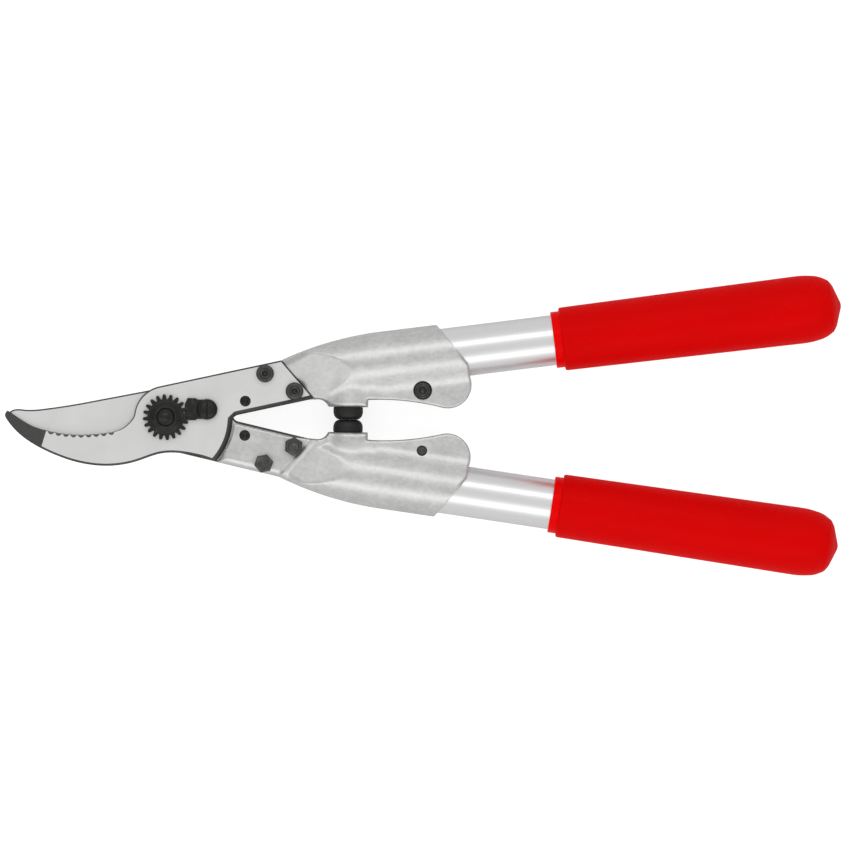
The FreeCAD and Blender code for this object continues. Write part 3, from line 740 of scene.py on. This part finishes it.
class Plan:
    """Signed distance to the bracket's outline seen from above, less than 0 inside, kept on a fine grid."""
    cell = 0.25

    def __init__(self):
        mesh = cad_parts["casting_a"].data
        mesh.calc_loop_triangles()
        tree = BVHTree.FromPolygons([tuple(p) for p in points_of("casting_a")],
                                    [t.vertices[:] for t in mesh.loop_triangles])
        low, high = span("casting_a")
        self.start = np.array([low.x, low.y]) - 3.0
        count = np.ceil((np.array([high.x, high.y]) + 3.0 - self.start) / self.cell).astype(int) + 1
        xs, ys = (self.start[k] + np.arange(count[k]) * self.cell for k in (0, 1))
        x, y = np.meshgrid(xs, ys, indexing="ij")
        inside = np.array([covered(tree, p) for p in zip(x.ravel(), y.ravel())]).reshape(x.shape)
        for node in UPRIGHT_HOLES:
            p = middle(node)
            inside |= np.hypot(x - p.x, y - p.y) < NEAR_SCREW
        best = np.full(x.shape, 1e9)
        for (ax, ay), (bx, by) in outline_segments(tree):
            dx, dy = bx - ax, by - ay
            t = np.clip(((x - ax) * dx + (y - ay) * dy) / (dx * dx + dy * dy), 0, 1)
            best = np.minimum(best, (x - ax - t * dx) ** 2 + (y - ay - t * dy) ** 2)
        self.grid = np.where(inside, -1, 1) * np.sqrt(best)

    def __call__(self, x, y):
        u = np.clip((x - self.start[0]) / self.cell, 0, self.grid.shape[0] - 1.001)
        v = np.clip((y - self.start[1]) / self.cell, 0, self.grid.shape[1] - 1.001)
        i, j = u.astype(int), v.astype(int)
        u, v = u - i, v - j
        g = self.grid
        return ((g[i, j] * (1 - u) + g[i + 1, j] * u) * (1 - v) + (g[i, j + 1] * (1 - u) + g[i + 1, j + 1] * u) * v)


def tang_end():
    """A point on side a's tang end and the direction past it, from the counter-blade's corners."""
    co = points_of("counter_blade")
    c, s = math.cos(TANG_LEAN), math.sin(TANG_LEAN)
    inner = co[np.argmax(co[:, 0])]
    v = co[:, 1] * c - co[:, 0] * s
    u = co[:, 0] * c + co[:, 1] * s
    top = v > v[u > 30].max() - 0.05
    outer = co[top][np.argmax(u[top])]
    way = np.array([outer[0] - inner[0], outer[1] - inner[1]])
    way /= np.linalg.norm(way)
    return inner[:2], np.array([way[1], -way[0]])


TANG_POINT, TANG_WAY = tang_end()


def past_tang(x, y):
    """Distance past the line of the tang's end."""
    return (x - TANG_POINT[0]) * TANG_WAY[0] + (y - TANG_POINT[1]) * TANG_WAY[1]


class BracketShape:
    """The cast bracket of side a as a field: less than 0 in the metal."""
    crest_face = 4.25       # counter-blade's outer face over the middle plane
    tongue_top = 0.05
    tongue_low = -7.45
    lug_half = 7.75
    boss_r = 9.45

    def __init__(self, sizes):
        self.plan = Plan()
        self.blend = sizes.cast_blend
        self.ridge = sizes.ridge_high
        low, high = span("bumper_a")
        self.boss_x = (low.x + high.x) / 2
        self.socket_r = span("casting_a")[1].z - Z_MID

    def field(self, x, y, z, flat):
        h = z - Z_MID
        c, n = math.cos(ANGLE), math.sin(ANGLE)
        s = x * c + (y - OFFSET) * n
        t = (y - OFFSET) * c - x * n
        d = past_tang(x, y)
        taper = 0.0032 * np.maximum(0, 105 - s) ** 2
        body = np.sqrt(t * t + h * h) - np.maximum(self.socket_r - 0.28 * taper, 8.0)
        lug = smooth_max(np.abs(h) - self.lug_half, np.maximum(91.0 - x, t - 3.0), 3.0)
        neck = smooth_max(np.abs(h) - 6.8, np.maximum(np.maximum(68.0 - x, x - 98.0), t - 1.0), 2.0)
        solid = smooth_min(smooth_min(body, neck, 3.2), lug, self.blend)
        rising = 1.35 * np.maximum(d - 3.0, 0)
        tongue = np.maximum(np.maximum(h - self.tongue_top, (rising - 9.5 - h) * 0.75), d - 9.0)
        tongue = smooth_max(tongue, flat, 0.9)
        solid = smooth_min(solid, tongue, 1.2)
        facet = (h - self.crest_face - 0.4214 * np.maximum(d, 0)) * 0.9215
        solid = smooth_max(solid, facet, 0.25)
        slope = np.logaddexp(0, (d - 2.4) / 0.5) * 0.5
        floor = self.tongue_low - 0.325 * slope - self.ridge * np.exp(-((d - 0.7) / 1.3) ** 2)
        solid = smooth_max(solid, (floor - h) * 0.95, 0.6)
        boss = np.maximum(np.hypot(x - self.boss_x, h) - self.boss_r, y - 24.0)
        solid = smooth_min(solid, boss, 2.8)
        rim = np.clip((11.0 - y) / 3, 0, 1) * np.clip((x - 74) / 3, 0, 1) * np.clip((100 - x) / 3, 0, 1)
        outer = np.clip((t + 2) / 4, 0, 1)
        solid = smooth_max(solid, flat, 1.3 - outer + 1.3 * rim + outer * np.minimum(0.72 * taper, 4.0))
        step = np.maximum(d - 0.3, self.tongue_top - h)
        return smooth_max(solid, -step, 0.35)


FRONT, BACK = slice(0, -1), slice(1, None)      # all layers but the last, all but the first


def trimmed(values, cuts):
    """A grid of values with layers left out: cuts maps an axis to what stays of it."""
    return values[tuple(cuts.get(axis, slice(None)) for axis in range(3))]


def net(field, grid):
    """Mesh of a field's zero surface: one point per crossed cell, one face per crossed grid edge."""
    start, cell, (nx, ny, nz) = grid
    inside = field < 0
    total = np.zeros((nx - 1, ny - 1, nz - 1, 3))
    count = np.zeros((nx - 1, ny - 1, nz - 1))
    crossings = []
    for axis in range(3):
        u, v = (k for k in range(3) if k != axis)
        a, b = trimmed(field, {axis: FRONT}), trimmed(field, {axis: BACK})
        crossed = trimmed(inside, {axis: FRONT}) != trimmed(inside, {axis: BACK})
        share = np.where(crossed, a / np.where(crossed, a - b, 1), 0)
        base = np.stack(np.meshgrid(*[np.arange(k, dtype=float) for k in crossed.shape], indexing="ij"), -1)
        base[..., axis] += share
        base *= crossed[..., None]
        for cuts in ({u: i, v: j} for i in (FRONT, BACK) for j in (FRONT, BACK)):
            total += trimmed(base, cuts)
            count += trimmed(crossed, cuts)
        crossings.append((axis, u, v, crossed))
    used = count > 0
    number = np.full(used.shape, -1)
    number[used] = np.arange(used.sum())
    points = total[used] / count[used][:, None] * cell + start
    faces = []
    for axis, u, v, crossed in crossings:
        for which in (u, v):
            np.moveaxis(crossed, which, 0)[[0, -1]] = False
        where = np.argwhere(crossed)
        corner = []
        for du, dv in ((-1, -1), (0, -1), (0, 0), (-1, 0)):
            place = where.copy()
            place[:, u] += du
            place[:, v] += dv
            corner.append(number[tuple(place.T)])
        quad = np.stack(corner, 1)
        flip = inside[tuple(where.T)] != (axis == 1)
        quad[~flip] = quad[~flip][:, ::-1]
        faces.append(quad)
    return points, np.concatenate(faces)


def bracket_mesh(sizes):
    """Side a's bracket, in metres: the field's surface, then its bore, slit and holes."""
    shape = BracketShape(sizes)
    low, high = span("casting_a")
    cell = sizes.cast_cell
    start = np.array([low.x - 2 * cell, low.y - 2 * cell, low.z - 2 * cell]) - 0.37 * cell
    count = [int(math.ceil((high[k] + 2 * cell - start[k]) / cell)) + 1 for k in range(3)]
    axes = [start[k] + np.arange(count[k]) * cell for k in range(3)]
    x2, y2 = np.meshgrid(axes[0], axes[1], indexing="ij")
    flat = shape.plan(x2, y2)
    x3, y3, z3 = np.meshgrid(*axes, indexing="ij")
    field = shape.field(x3, y3, z3, flat[:, :, None])
    points, faces = net(field, (start, cell, count))

    def value_at(p):
        return shape.field(p[:, 0], p[:, 1], p[:, 2], shape.plan(p[:, 0], p[:, 1]))

    for _ in range(3):      # settle every point on the surface
        step = 0.02
        value = value_at(points)
        slope = np.empty_like(points)
        for k in range(3):
            moved = points.copy()
            moved[:, k] += step
            slope[:, k] = (value_at(moved) - value) / step
        square = np.maximum((slope ** 2).sum(1), 0.1)
        move = -slope * (value / square)[:, None]
        length = np.linalg.norm(move, axis=1)
        points += move * np.minimum(1, 0.3 * cell / np.maximum(length, 1e-9))[:, None]
    mesh = bpy.data.meshes.new("bracket_blank")
    mesh.from_pydata(points * MM, [], faces.tolist())
    mesh.update()
    far = 200.0
    p, axis = middle("clamp_screw_a"), handle_matrix("a")
    head_low = span("clamp_screw_a")[1].z - CLAMP_HEAD_HIGH
    tools = bmesh.new()
    cylinder(tools, TUBE_R + 0.15, axis @ Vector((along_tube("tube_a")[0], 0, 0)), axis @ Vector((far, 0, 0)), 96)
    for node, r in (("front_bolt_a", 2.65), ("rear_bolt_a", 2.65), ("dowel_a", 2.6)):
        hole = middle(node)
        cylinder(tools, r, (hole.x, hole.y, -30), (hole.x, hole.y, 50))
    result = cut(mesh, tools)
    for r, start, end in ((4.55, head_low, 60), (2.52, -40, head_low + 1)):
        tools = bmesh.new()
        cylinder(tools, r, (p.x, p.y, start), (p.x, p.y, end))
        result = cut(result, tools)
    tools = bmesh.new()
    near, past, half_slit = span("bumper_a")[1].x + 3.0, far + 10, 0.75
    prism(tools, [(near, -20), (past, -20), (past, OFFSET + past * math.tan(ANGLE)),
                  (near, OFFSET + near * math.tan(ANGLE))], Z_MID - half_slit, Z_MID + half_slit)
    return cut(result, tools)


class SHEARS_OT_brackets(bpy.types.Operator):
    """Makes the two cast brackets"""
    bl_idname = "shears.brackets"
    bl_label = "Cast brackets"

    def execute(self, context):
        mesh = bracket_mesh(context.scene.shears_sizes)
        for side in "ab":
            own = mesh.copy()
            own.transform(in_metres(side_matrix(side)))
            smooth(own, 32.0)
            handle_place(own, side)
            put("bracket_" + side, own, BODY[side], ["casting_" + side], ["cast_aluminium"])
        return {"FINISHED"}


# ---- tubes, grips and shock absorbers ----

class SHEARS_OT_tubes(bpy.types.Operator):
    """Makes the two handle tubes"""
    bl_idname = "shears.tubes"
    bl_label = "Tubes"

    def execute(self, context):
        sizes = context.scene.shears_sizes
        first, last, r = along_tube("tube_a")
        inside, edge = r - TUBE_WALL, 0.4
        profile = [(first, inside), (first, r - edge), (first + edge, r), (last - edge, r), (last, r - edge),
                   (last, inside)]
        for side in "ab":
            mesh = mesh_of(lathe(profile, sizes.turns, closed=True), "tube", handle_matrix(side))
            handle_place(mesh, side)
            put("drawn_tube_" + side, mesh, BODY[side], ["tube_" + side], ["anodised_tube"])
        return {"FINISHED"}


class SHEARS_OT_grips(bpy.types.Operator):
    """Makes the two dipped grips with their collars"""
    bl_idname = "shears.grips"
    bl_label = "Grips"

    def execute(self, context):
        sizes = context.scene.shears_sizes
        first, last, r = along_tube("grip_a")
        tube_end = along_tube("tube_a")[1]
        inner = TUBE_R + 0.05
        front = first + 4.0
        shoulder = last - 15.8
        profile = [(first, inner), (first, 13.5), (front, 13.5), (front, 15.15), (shoulder, r),
                   (shoulder + 5.5, r * 0.93), (shoulder + 7.6, r * 0.885), (shoulder + 11.1, r * 0.76),
                   (shoulder + 12.8, r * 0.60), (last, 1.0), (last, 0.0), (tube_end, 0.0), (tube_end, inner)]
        profile = soften(profile, {1: 0.5, 2: 0.25, 3: 1.1, 4: 4.5, 6: 1.0, 7: 0.7, 8: 0.8, 9: 0.5})
        for side in "ab":
            mesh = mesh_of(lathe(profile, sizes.turns, closed=True), "grip", handle_matrix(side), 50.0)
            handle_place(mesh, side)
            put("dipped_grip_" + side, mesh, BODY[side], ["grip_" + side], ["red_vinyl", "red_collar"])
            along = rows(mesh.attributes["handle_place"].data, "vector")[:, 0] / MM - GRAIN_SHIFT[side]
            for polygon in mesh.polygons:
                if along[list(polygon.vertices)].mean() < front - 0.02:
                    polygon.material_index = 1
        return {"FINISHED"}


class SHEARS_OT_bumpers(bpy.types.Operator):
    """Makes the two rubber shock absorbers between the brackets"""
    bl_idname = "shears.bumpers"
    bl_label = "Shock absorbers"

    def execute(self, context):
        low, high = span("bumper_a")
        base, plug_deep, plug_r, crown_r = 6.0, 4.5, 3.0, 3.9
        tall = base - 0.01
        r = (high.x - low.x) / 2
        profile = [(-plug_deep, 0.0), (-plug_deep, plug_r), (0.0, plug_r), (0.0, r - 0.2), (tall * 0.08, r),
                   (tall * 0.40, r)]
        for k in range(1, 10):
            a = k / 9 * math.pi / 2
            profile.append((tall * (0.40 + 0.60 * math.sin(a)), crown_r + (r - crown_r) * math.cos(a)))
        profile += [(tall - 0.3, 2.4), (tall - 0.4, 0.0)]
        profile = soften(profile, {2: 0.3, 3: 0.1, 4: 0.2})
        mid = middle("bumper_a")
        place = Matrix.Translation((mid.x, base, Z_MID)) @ Matrix.Rotation(-math.pi / 2, 4, "Z")
        for side in "ab":
            mesh = mesh_of(lathe(profile, 96), "bumper", side_matrix(side) @ place, 50.0)
            put("rubber_bumper_" + side, mesh, BODY[side], ["bumper_" + side], ["black_rubber"])
        return {"FINISHED"}


# ---- repeated shapes ----

def array_tree(name, kind):
    """A node tree that sets a shape on a ring of places or on two points, joins a base and makes all of it real."""
    tree = bpy.data.node_groups.new(name, "GeometryNodeTree")
    face = tree.interface
    face.new_socket("Geometry", in_out="INPUT", socket_type="NodeSocketGeometry")
    own = (("Count", "Int"), ("Turn", "Float"), ("Centre", "Vector")) if kind == "ring" else (
        ("First", "Vector"), ("Last", "Vector"), ("Turn", "Float"), ("Turn Step", "Float"), ("Flip", "Float"))
    sockets = {key: face.new_socket(key, in_out="INPUT", socket_type="NodeSocket" + type_)
               for key, type_ in (("Shape", "Object"), ("Finish", "Material"), *own)}
    face.new_socket("Geometry", in_out="OUTPUT", socket_type="NodeSocketGeometry")
    wire, source = Wire(tree), tree.nodes.new("NodeGroupInput")
    given = {key: Wire(tree, source.outputs[key]) for key in ("Geometry", *sockets)}
    if kind == "ring":
        step, lean = wire.maths("DIVIDE", 2 * math.pi, given["Count"]), 0.0
        settings = {"mode": "OFFSET"}
        line = {"Count": given["Count"], "Start Location": given["Centre"], "Offset": (0, 0, 0)}
    else:
        step, lean = given["Turn Step"], given["Flip"]
        settings = {"mode": "END_POINTS"}
        line = {"Count": 2, "Start Location": given["First"], "Offset": given["Last"]}
    places = wire.make("GeometryNodeMeshLine", settings, line, "Mesh")
    index = wire.make("GeometryNodeInputIndex", {}, {})
    turn = wire.make("ShaderNodeMath", {"operation": "MULTIPLY_ADD"}, {0: index, 1: step, 2: given["Turn"]})
    spin = wire.make("ShaderNodeCombineXYZ", {}, {"X": lean, "Z": turn})
    shape = wire.make("GeometryNodeObjectInfo", {}, {"Object": given["Shape"]}, "Geometry")
    scatter = wire.make("GeometryNodeInstanceOnPoints", {}, {"Points": places, "Instance": shape, "Rotation": spin})
    joined = wire.make("GeometryNodeJoinGeometry", {}, {0: scatter})
    tree.links.new(given["Geometry"].socket, joined.socket.node.inputs[0])
    real = wire.make("GeometryNodeRealizeInstances", {}, {0: joined})
    paint = wire.make("GeometryNodeSetMaterial", {}, {"Geometry": real, "Material": given["Finish"]})
    tree.links.new(paint.socket, tree.nodes.new("NodeGroupOutput").inputs[0])
    return tree, {key: s.identifier for key, s in sockets.items()}


def arrayed(base, shape, kind, values):
    """The mesh of a base with a shape repeated by the node tree."""
    tree, names = array_tree("shears_" + kind, kind)
    inputs = {names[key]: value for key, value in {"Shape": shape, **values}.items()}
    return worked(base, "NODES", {"node_group": tree}, inputs)


# ---- pivot ----

class SHEARS_OT_pivot(bpy.types.Operator):
    """Makes the pivot bolt, its toothed nut, the locking segment and its screw"""
    bl_idname = "shears.pivot"
    bl_label = "Pivot"

    def execute(self, context):
        sizes = context.scene.shears_sizes
        self.bolt(sizes)
        self.nut(sizes)
        self.segment()
        return {"FINISHED"}

    def bolt(self, sizes):
        low, high = span("pivot_bolt")
        head, r, shank = HEAD_HIGH, (high.x - low.x) / 2, 4.0
        top = high.z
        profile = [(0.9, 0.0), (0.9, 3.0), (0.0, 3.9), (0.0, r - 1.0), (0.9, r), (head, r), (head, shank),
                   (top - 0.7, shank), (top, shank - 0.7), (top, 2.2), (top - 1.1, 0.0)]
        profile = soften(profile, {1: 0.4, 2: 0.3, 3: 0.4, 4: 0.4, 5: 0.3, 7: 0.3, 8: 0.3, 9: 0.3})
        mesh = mesh_of(lathe(profile, sizes.turns), "pivot_bolt", UPRIGHT_Z)
        put("turned_pivot_bolt", mesh, HOOK, ["pivot_bolt"], ["black_oxide"])

    def nut(self, sizes):
        low, high = span("pivot_nut")
        z0, z1 = low.z, low.z + 3.6
        root, tip = 8.7, (high.x - low.x + high.y - low.y) / 4
        profile = [(z0, 4.05), (z0, root - 0.3), (z0 + 0.3, root), (z1 - 0.4, root), (z1, root - 0.5), (z1, 7.8),
                   (high.z - 0.1, 5.35), (high.z, 5.0), (high.z, 4.35), (high.z - 0.3, 4.05)]
        profile = soften(profile, {4: 0.2, 5: 0.5, 6: 0.25, 8: 0.1})
        disc = mesh_of(lathe(profile, sizes.turns, closed=True), "nut_disc", UPRIGHT_Z)
        tooth = bmesh.new()
        half_tip, half_root = sizes.tooth_tip / 2, 1.0
        outline = [(root - 0.6, -half_root), (root + 0.1, -half_root)]
        for k in range(7):
            a = -math.pi / 2 + math.pi * k / 6
            outline.append((tip - half_tip * 0.9 + half_tip * 0.9 * math.cos(a), half_tip * math.sin(a)))
        outline += [(root + 0.1, half_root), (root - 0.6, half_root)]
        prism(tooth, outline, z0, z1)
        rims = [e for e in tooth.edges if abs(e.verts[0].co.z - e.verts[1].co.z) < 1e-6
                and min(v.co.x for v in e.verts) > root - 0.5]
        bevelled(tooth, rims, 0.28)
        shape = mesh_of(tooth, "tooth")
        mesh = arrayed(disc, shape, "ring", {"Count": 20, "Turn": math.radians(4.9), "Centre": (0.0, 0.0, 0.0),
                                             "Finish": material("black_oxide")})
        put("toothed_nut", mesh, HOOK, ["pivot_nut"], ["black_oxide"])

    def segment(self):
        bm = copied("locking_segment")
        high = span("locking_segment")[1]
        rims = [e for e in bm.edges if len(e.link_faces) == 2 and e.calc_face_angle(0.0) > math.radians(40)
                and all(abs(v.co.z - high.z) < 0.01 for v in e.verts)]
        bevelled(bm, rims, 0.3)
        mesh = mesh_of(bm, "segment", angle=30.0)
        put("lock_segment", mesh, HOOK, ["locking_segment"], ["black_oxide"])
        low, high = span("segment_screw")
        mid, r, top = (low + high) / 2, (high.x - low.x) / 2, high.z
        base, shank = top - 2.4, 2.5
        profile = [(low.z, 0.0), (low.z, shank - 0.3), (low.z + 0.3, shank), (base, shank), (base, r - 0.2)]
        for k in range(9):
            a = k / 8 * math.pi / 2
            profile.append((base + 0.25 + 2.15 * math.sin(a), r * math.cos(a) if k < 8 else 0.0))
        body = mesh_of(lathe(profile, 96), "screw", Matrix.Translation((mid.x, mid.y, 0)) @ UPRIGHT_Z)
        tools = bmesh.new()
        half, reach = 0.45, 8.0         # of the slot
        corners = ((-half, -reach), (half, -reach), (half, reach), (-half, reach))
        prism(tools, [(mid.x + x, mid.y + y) for x, y in corners], top - 1.2, top + 3)
        mesh = cut(body, tools)
        smooth(mesh)
        put("slotted_screw", mesh, HOOK, ["segment_screw"], ["black_oxide"])


# ---- fasteners ----

def hexagon(flats, turn=0.0):
    """Corners of a hexagon, from its width across flats."""
    r, turns = flats / 2 / math.cos(math.pi / 6), [math.radians(60 * k + turn) for k in range(6)]
    return [(r * math.cos(a), r * math.sin(a)) for a in turns]


def socket_head(r, high, hexa, deep, shank_r, shank_long):
    """A socket screw standing on Z 0 at its seat: grooved head above, shank below."""
    end, groove, half = -shank_long, high - 0.35, hexa / 2
    profile = [(end + 0.8, 0.0), (end, 1.25), (end, shank_r - 0.5), (end + 0.5, shank_r), (0.0, shank_r),
               (0.0, r - 0.1), (high - 0.7, r), (high, r - 0.75), (high, half + 1.15), (groove, half + 0.95),
               (groove, half + 0.8), (high, half + 0.62), (high, 0.0)]
    profile = soften(profile, {6: 0.3, 7: 0.25, 8: 0.1})
    body = mesh_of(lathe(profile, 72), "socket_head", UPRIGHT_Z)
    tools = bmesh.new()
    prism(tools, hexagon(hexa, 10.0), high - deep, high + 2)
    body = cut(body, tools)
    point = lathe([(high - deep - 1.2, 0.0), (high - deep + 0.2, hexa * 0.49), (high - deep + 0.2, 0.0)], 48)
    point.transform(UPRIGHT_Z)
    return cut(body, point)


def hexagon_nut(flats, high, hole):
    """A nut standing on Z 0, its outer corners turned off, with the bolt's end in it."""
    bm, corner = bmesh.new(), flats / 2 / math.cos(math.pi / 6)
    prism(bm, hexagon(flats), 0.0, high)
    block = [(high - 0.75, corner + 0.25), (high - 0.75, corner + 3), (high + 1, corner + 3),
             (high + 1, flats / 2 - 1.2), (high, flats / 2 - 0.35)]
    ring = lathe(block, 72, closed=True)
    ring.transform(UPRIGHT_Z)
    mesh = cut(mesh_of(bm, "nut_blank"), ring)
    tools = bmesh.new()
    cylinder(tools, hole, (0, 0, -1), (0, 0, high + 1), 48)
    return cut(mesh, tools)


class SHEARS_OT_plate_screws(bpy.types.Operator):
    """Makes the socket screws and hexagon nuts that hold the blades to the brackets"""
    bl_idname = "shears.plate_screws"
    bl_label = "Plate screws and nuts"

    def execute(self, context):
        low, high = span("front_bolt_a")
        seat = high.z - HEAD_HIGH
        screw = socket_head((high.x - low.x) / 2, HEAD_HIGH, 3.0, 1.8, 2.5, seat - low.z)
        nut_low, nut_high = span("front_nut_a")
        nut = hexagon_nut(8.0, nut_high.z - nut_low.z, 2.45)
        for side in "ab":
            self.pair("plate_screws_" + side, ["front_bolt_" + side, "rear_bolt_" + side], screw, seat,
                      over=False, step=0.3, side=side)
            self.pair("plate_nuts_" + side, ["front_nut_" + side, "rear_nut_" + side], nut, nut_high.z,
                      over=True, step=math.radians(15), side=side)
        return {"FINISHED"}

    def pair(self, name, nodes, shape, z, over, step, side):
        """A shape on a side's front and rear hole, from its height and way up on side a."""
        first, last = middle(nodes[0]), middle(nodes[1])
        z, flip = (z if side == "a" else 2 * Z_MID - z), (math.pi if over == (side == "a") else 0.0)
        empty = bpy.data.meshes.new("no_base")
        mesh = arrayed(empty, shape.copy(), "pair",
                       {"First": (first.x * MM, first.y * MM, z * MM), "Last": (last.x * MM, last.y * MM, z * MM),
                        "Turn": math.radians(12), "Turn Step": step, "Flip": flip, "Finish": material("worn_oxide")})
        smooth(mesh, 30.0)
        put(name, mesh, BODY[side], nodes, ["worn_oxide"])


class SHEARS_OT_pins(bpy.types.Operator):
    """Makes the dowels and the clamp screws in the brackets"""
    bl_idname = "shears.pins"
    bl_label = "Dowels and clamp screws"

    def execute(self, context):
        low, high = span("dowel_a")
        mid, r = (low + high) / 2, (high.x - low.x) / 2
        long = high.z - low.z
        end = [(1.3, 0.0), (0.0, 1.45), (0.0, r - 0.45), (0.5, r)]
        profile = end + [(long - x, y) for x, y in reversed(end)]
        profile = soften(profile, {1: 0.15, 2: 0.2, 3: 0.2, 4: 0.2, 5: 0.2, 6: 0.15})
        for side in "ab":
            mesh = mesh_of(lathe(profile, 64), "dowel",
                           side_matrix(side) @ Matrix.Translation((mid.x, mid.y, low.z)) @ UPRIGHT_Z)
            put("dowel_pin_" + side, mesh, BODY[side], ["dowel_" + side], ["black_oxide"])
        low, high = span("clamp_screw_a")
        mid, r, seat = (low + high) / 2, (high.x - low.x) / 2, high.z - CLAMP_HEAD_HIGH
        screw = socket_head(r, CLAMP_HEAD_HIGH, 4.0, 2.6, 2.5, seat - low.z)
        for side in "ab":
            mesh = screw.copy()
            place = side_matrix(side) @ Matrix.Translation((mid.x, mid.y, seat))
            mesh.transform(in_metres(place))
            smooth(mesh, 30.0)
            put("clamp_screw_piece_" + side, mesh, BODY[side], ["clamp_screw_" + side], ["worn_oxide"])
        return {"FINISHED"}


# ---- stage ----

class SHEARS_OT_stage(bpy.types.Operator):
    """Makes the pale floor, the soft lights and the camera over the shears"""
    bl_idname = "shears.stage"
    bl_label = "Stage"

    def execute(self, context):
        scene = context.scene
        sizes, colours = scene.shears_sizes, scene.shears_colours
        scene.view_settings.view_transform = "Standard"
        centre = Vector((0.1238, -0.0021, 0.012))       # aimed at, on the plates' front
        bm, mesh = bmesh.new(), bpy.data.meshes.new("floor")
        bmesh.ops.create_grid(bm, x_segments=8, y_segments=8, size=8.0)
        bm.to_mesh(mesh)
        bm.free()
        floor = bpy.data.objects.new("floor", mesh)
        floor.location = (centre.x, centre.y, CAD_BOX[0].z - 0.0004)
        scene.collection.objects.link(floor)
        paint, shader, wire = finish_of("floor_paint", {"Roughness": 0.9, "Specular IOR Level": 0.1,
                                                        "Emission Strength": 0.74})
        cloud = wire.noise(here(wire), 0.8, 2.0)
        tone = wire.mix(cloud, tuple(colours.floor), tinted(colours.floor, 1.02))
        seen = wire.make("ShaderNodeLightPath", {}, {}, "Is Camera Ray")
        glow = wire.mix(seen, (0.16, 0.16, 0.16), (1, 1, 1))
        feed(shader, wire, {"Base Color": tone, "Emission Color": glow})
        mesh.materials.append(paint)
        world = bpy.data.worlds.new("soft_room")
        world.use_nodes = True
        room = Wire(world.node_tree)
        way = room.make("ShaderNodeTexCoord", {}, {}, "Generated")
        along = room.make("ShaderNodeSeparateXYZ", {}, {"Vector": way}, "X")
        shade = room.mix(along * along, (0.72, 0.72, 0.72), (0.42, 0.42, 0.42))
        world.node_tree.links.new(shade.socket, world.node_tree.nodes["Background"].inputs["Color"])
        scene.world = world
        self.strip("strip_far", centre, lean=35.0, wide=0.32, long=1.6, power=2.75)
        self.strip("strip_near", centre, lean=-43.0, wide=0.75, long=2.5, power=5.0)
        data = bpy.data.cameras.new("camera")
        data.sensor_width = 36.0
        data.lens = 36.0 * sizes.view_height / sizes.view_width
        data.clip_end = 50.0
        camera = bpy.data.objects.new("camera", data)
        camera.location = (centre.x, centre.y, centre.z + sizes.view_height)
        camera.rotation_euler = (0, 0, math.radians(0.75))
        scene.collection.objects.link(camera)
        scene.camera = camera
        return {"FINISHED"}

    def strip(self, name, centre, lean, wide, long, power, away=1.5):
        """A soft strip light along the shears, leaning away from overhead."""
        data = bpy.data.lights.new(name, "AREA")
        data.shape = "RECTANGLE"
        data.size, data.size_y = long, wide
        data.energy = power
        light = bpy.data.objects.new(name, data)
        a = math.radians(lean)
        light.location = centre + Vector((0, math.sin(a), math.cos(a))) * away
        light.rotation_euler = (-a, 0, 0)
        light.visible_camera = False
        bpy.context.scene.collection.objects.link(light)


# ---- add-on ----

STEPS = (SHEARS_OT_plates, SHEARS_OT_brackets, SHEARS_OT_tubes, SHEARS_OT_grips, SHEARS_OT_bumpers, SHEARS_OT_pivot,
         SHEARS_OT_plate_screws, SHEARS_OT_pins, SHEARS_OT_stage)


class SHEARS_PT_sidebar(bpy.types.Panel):
    bl_label = "Pruning Shears"
    bl_idname = "SHEARS_PT_sidebar"
    bl_space_type = "VIEW_3D"
    bl_region_type = "UI"
    bl_category = "Shears"

    def draw(self, context):
        column = self.layout.column()
        for group in (context.scene.shears_sizes, context.scene.shears_colours):
            for name in group.bl_rna.properties.keys():
                if name not in ("rna_type", "name"):
                    column.prop(group, name)
        for step in STEPS:
            column.operator(step.bl_idname)


CLASSES = (ShearsSizes, ShearsColours, *STEPS, SHEARS_PT_sidebar)


def register():
    for c in CLASSES:
        bpy.utils.register_class(c)
    bpy.types.Scene.shears_sizes = PointerProperty(type=ShearsSizes)
    bpy.types.Scene.shears_colours = PointerProperty(type=ShearsColours)


def unregister():
    del bpy.types.Scene.shears_sizes
    del bpy.types.Scene.shears_colours
    for c in reversed(CLASSES):
        bpy.utils.unregister_class(c)


def main():
    register()
    for step in STEPS:
        group, name = step.bl_idname.split(".")
        getattr(getattr(bpy.ops, group), name)()


if __name__ == "__main__":
    main()
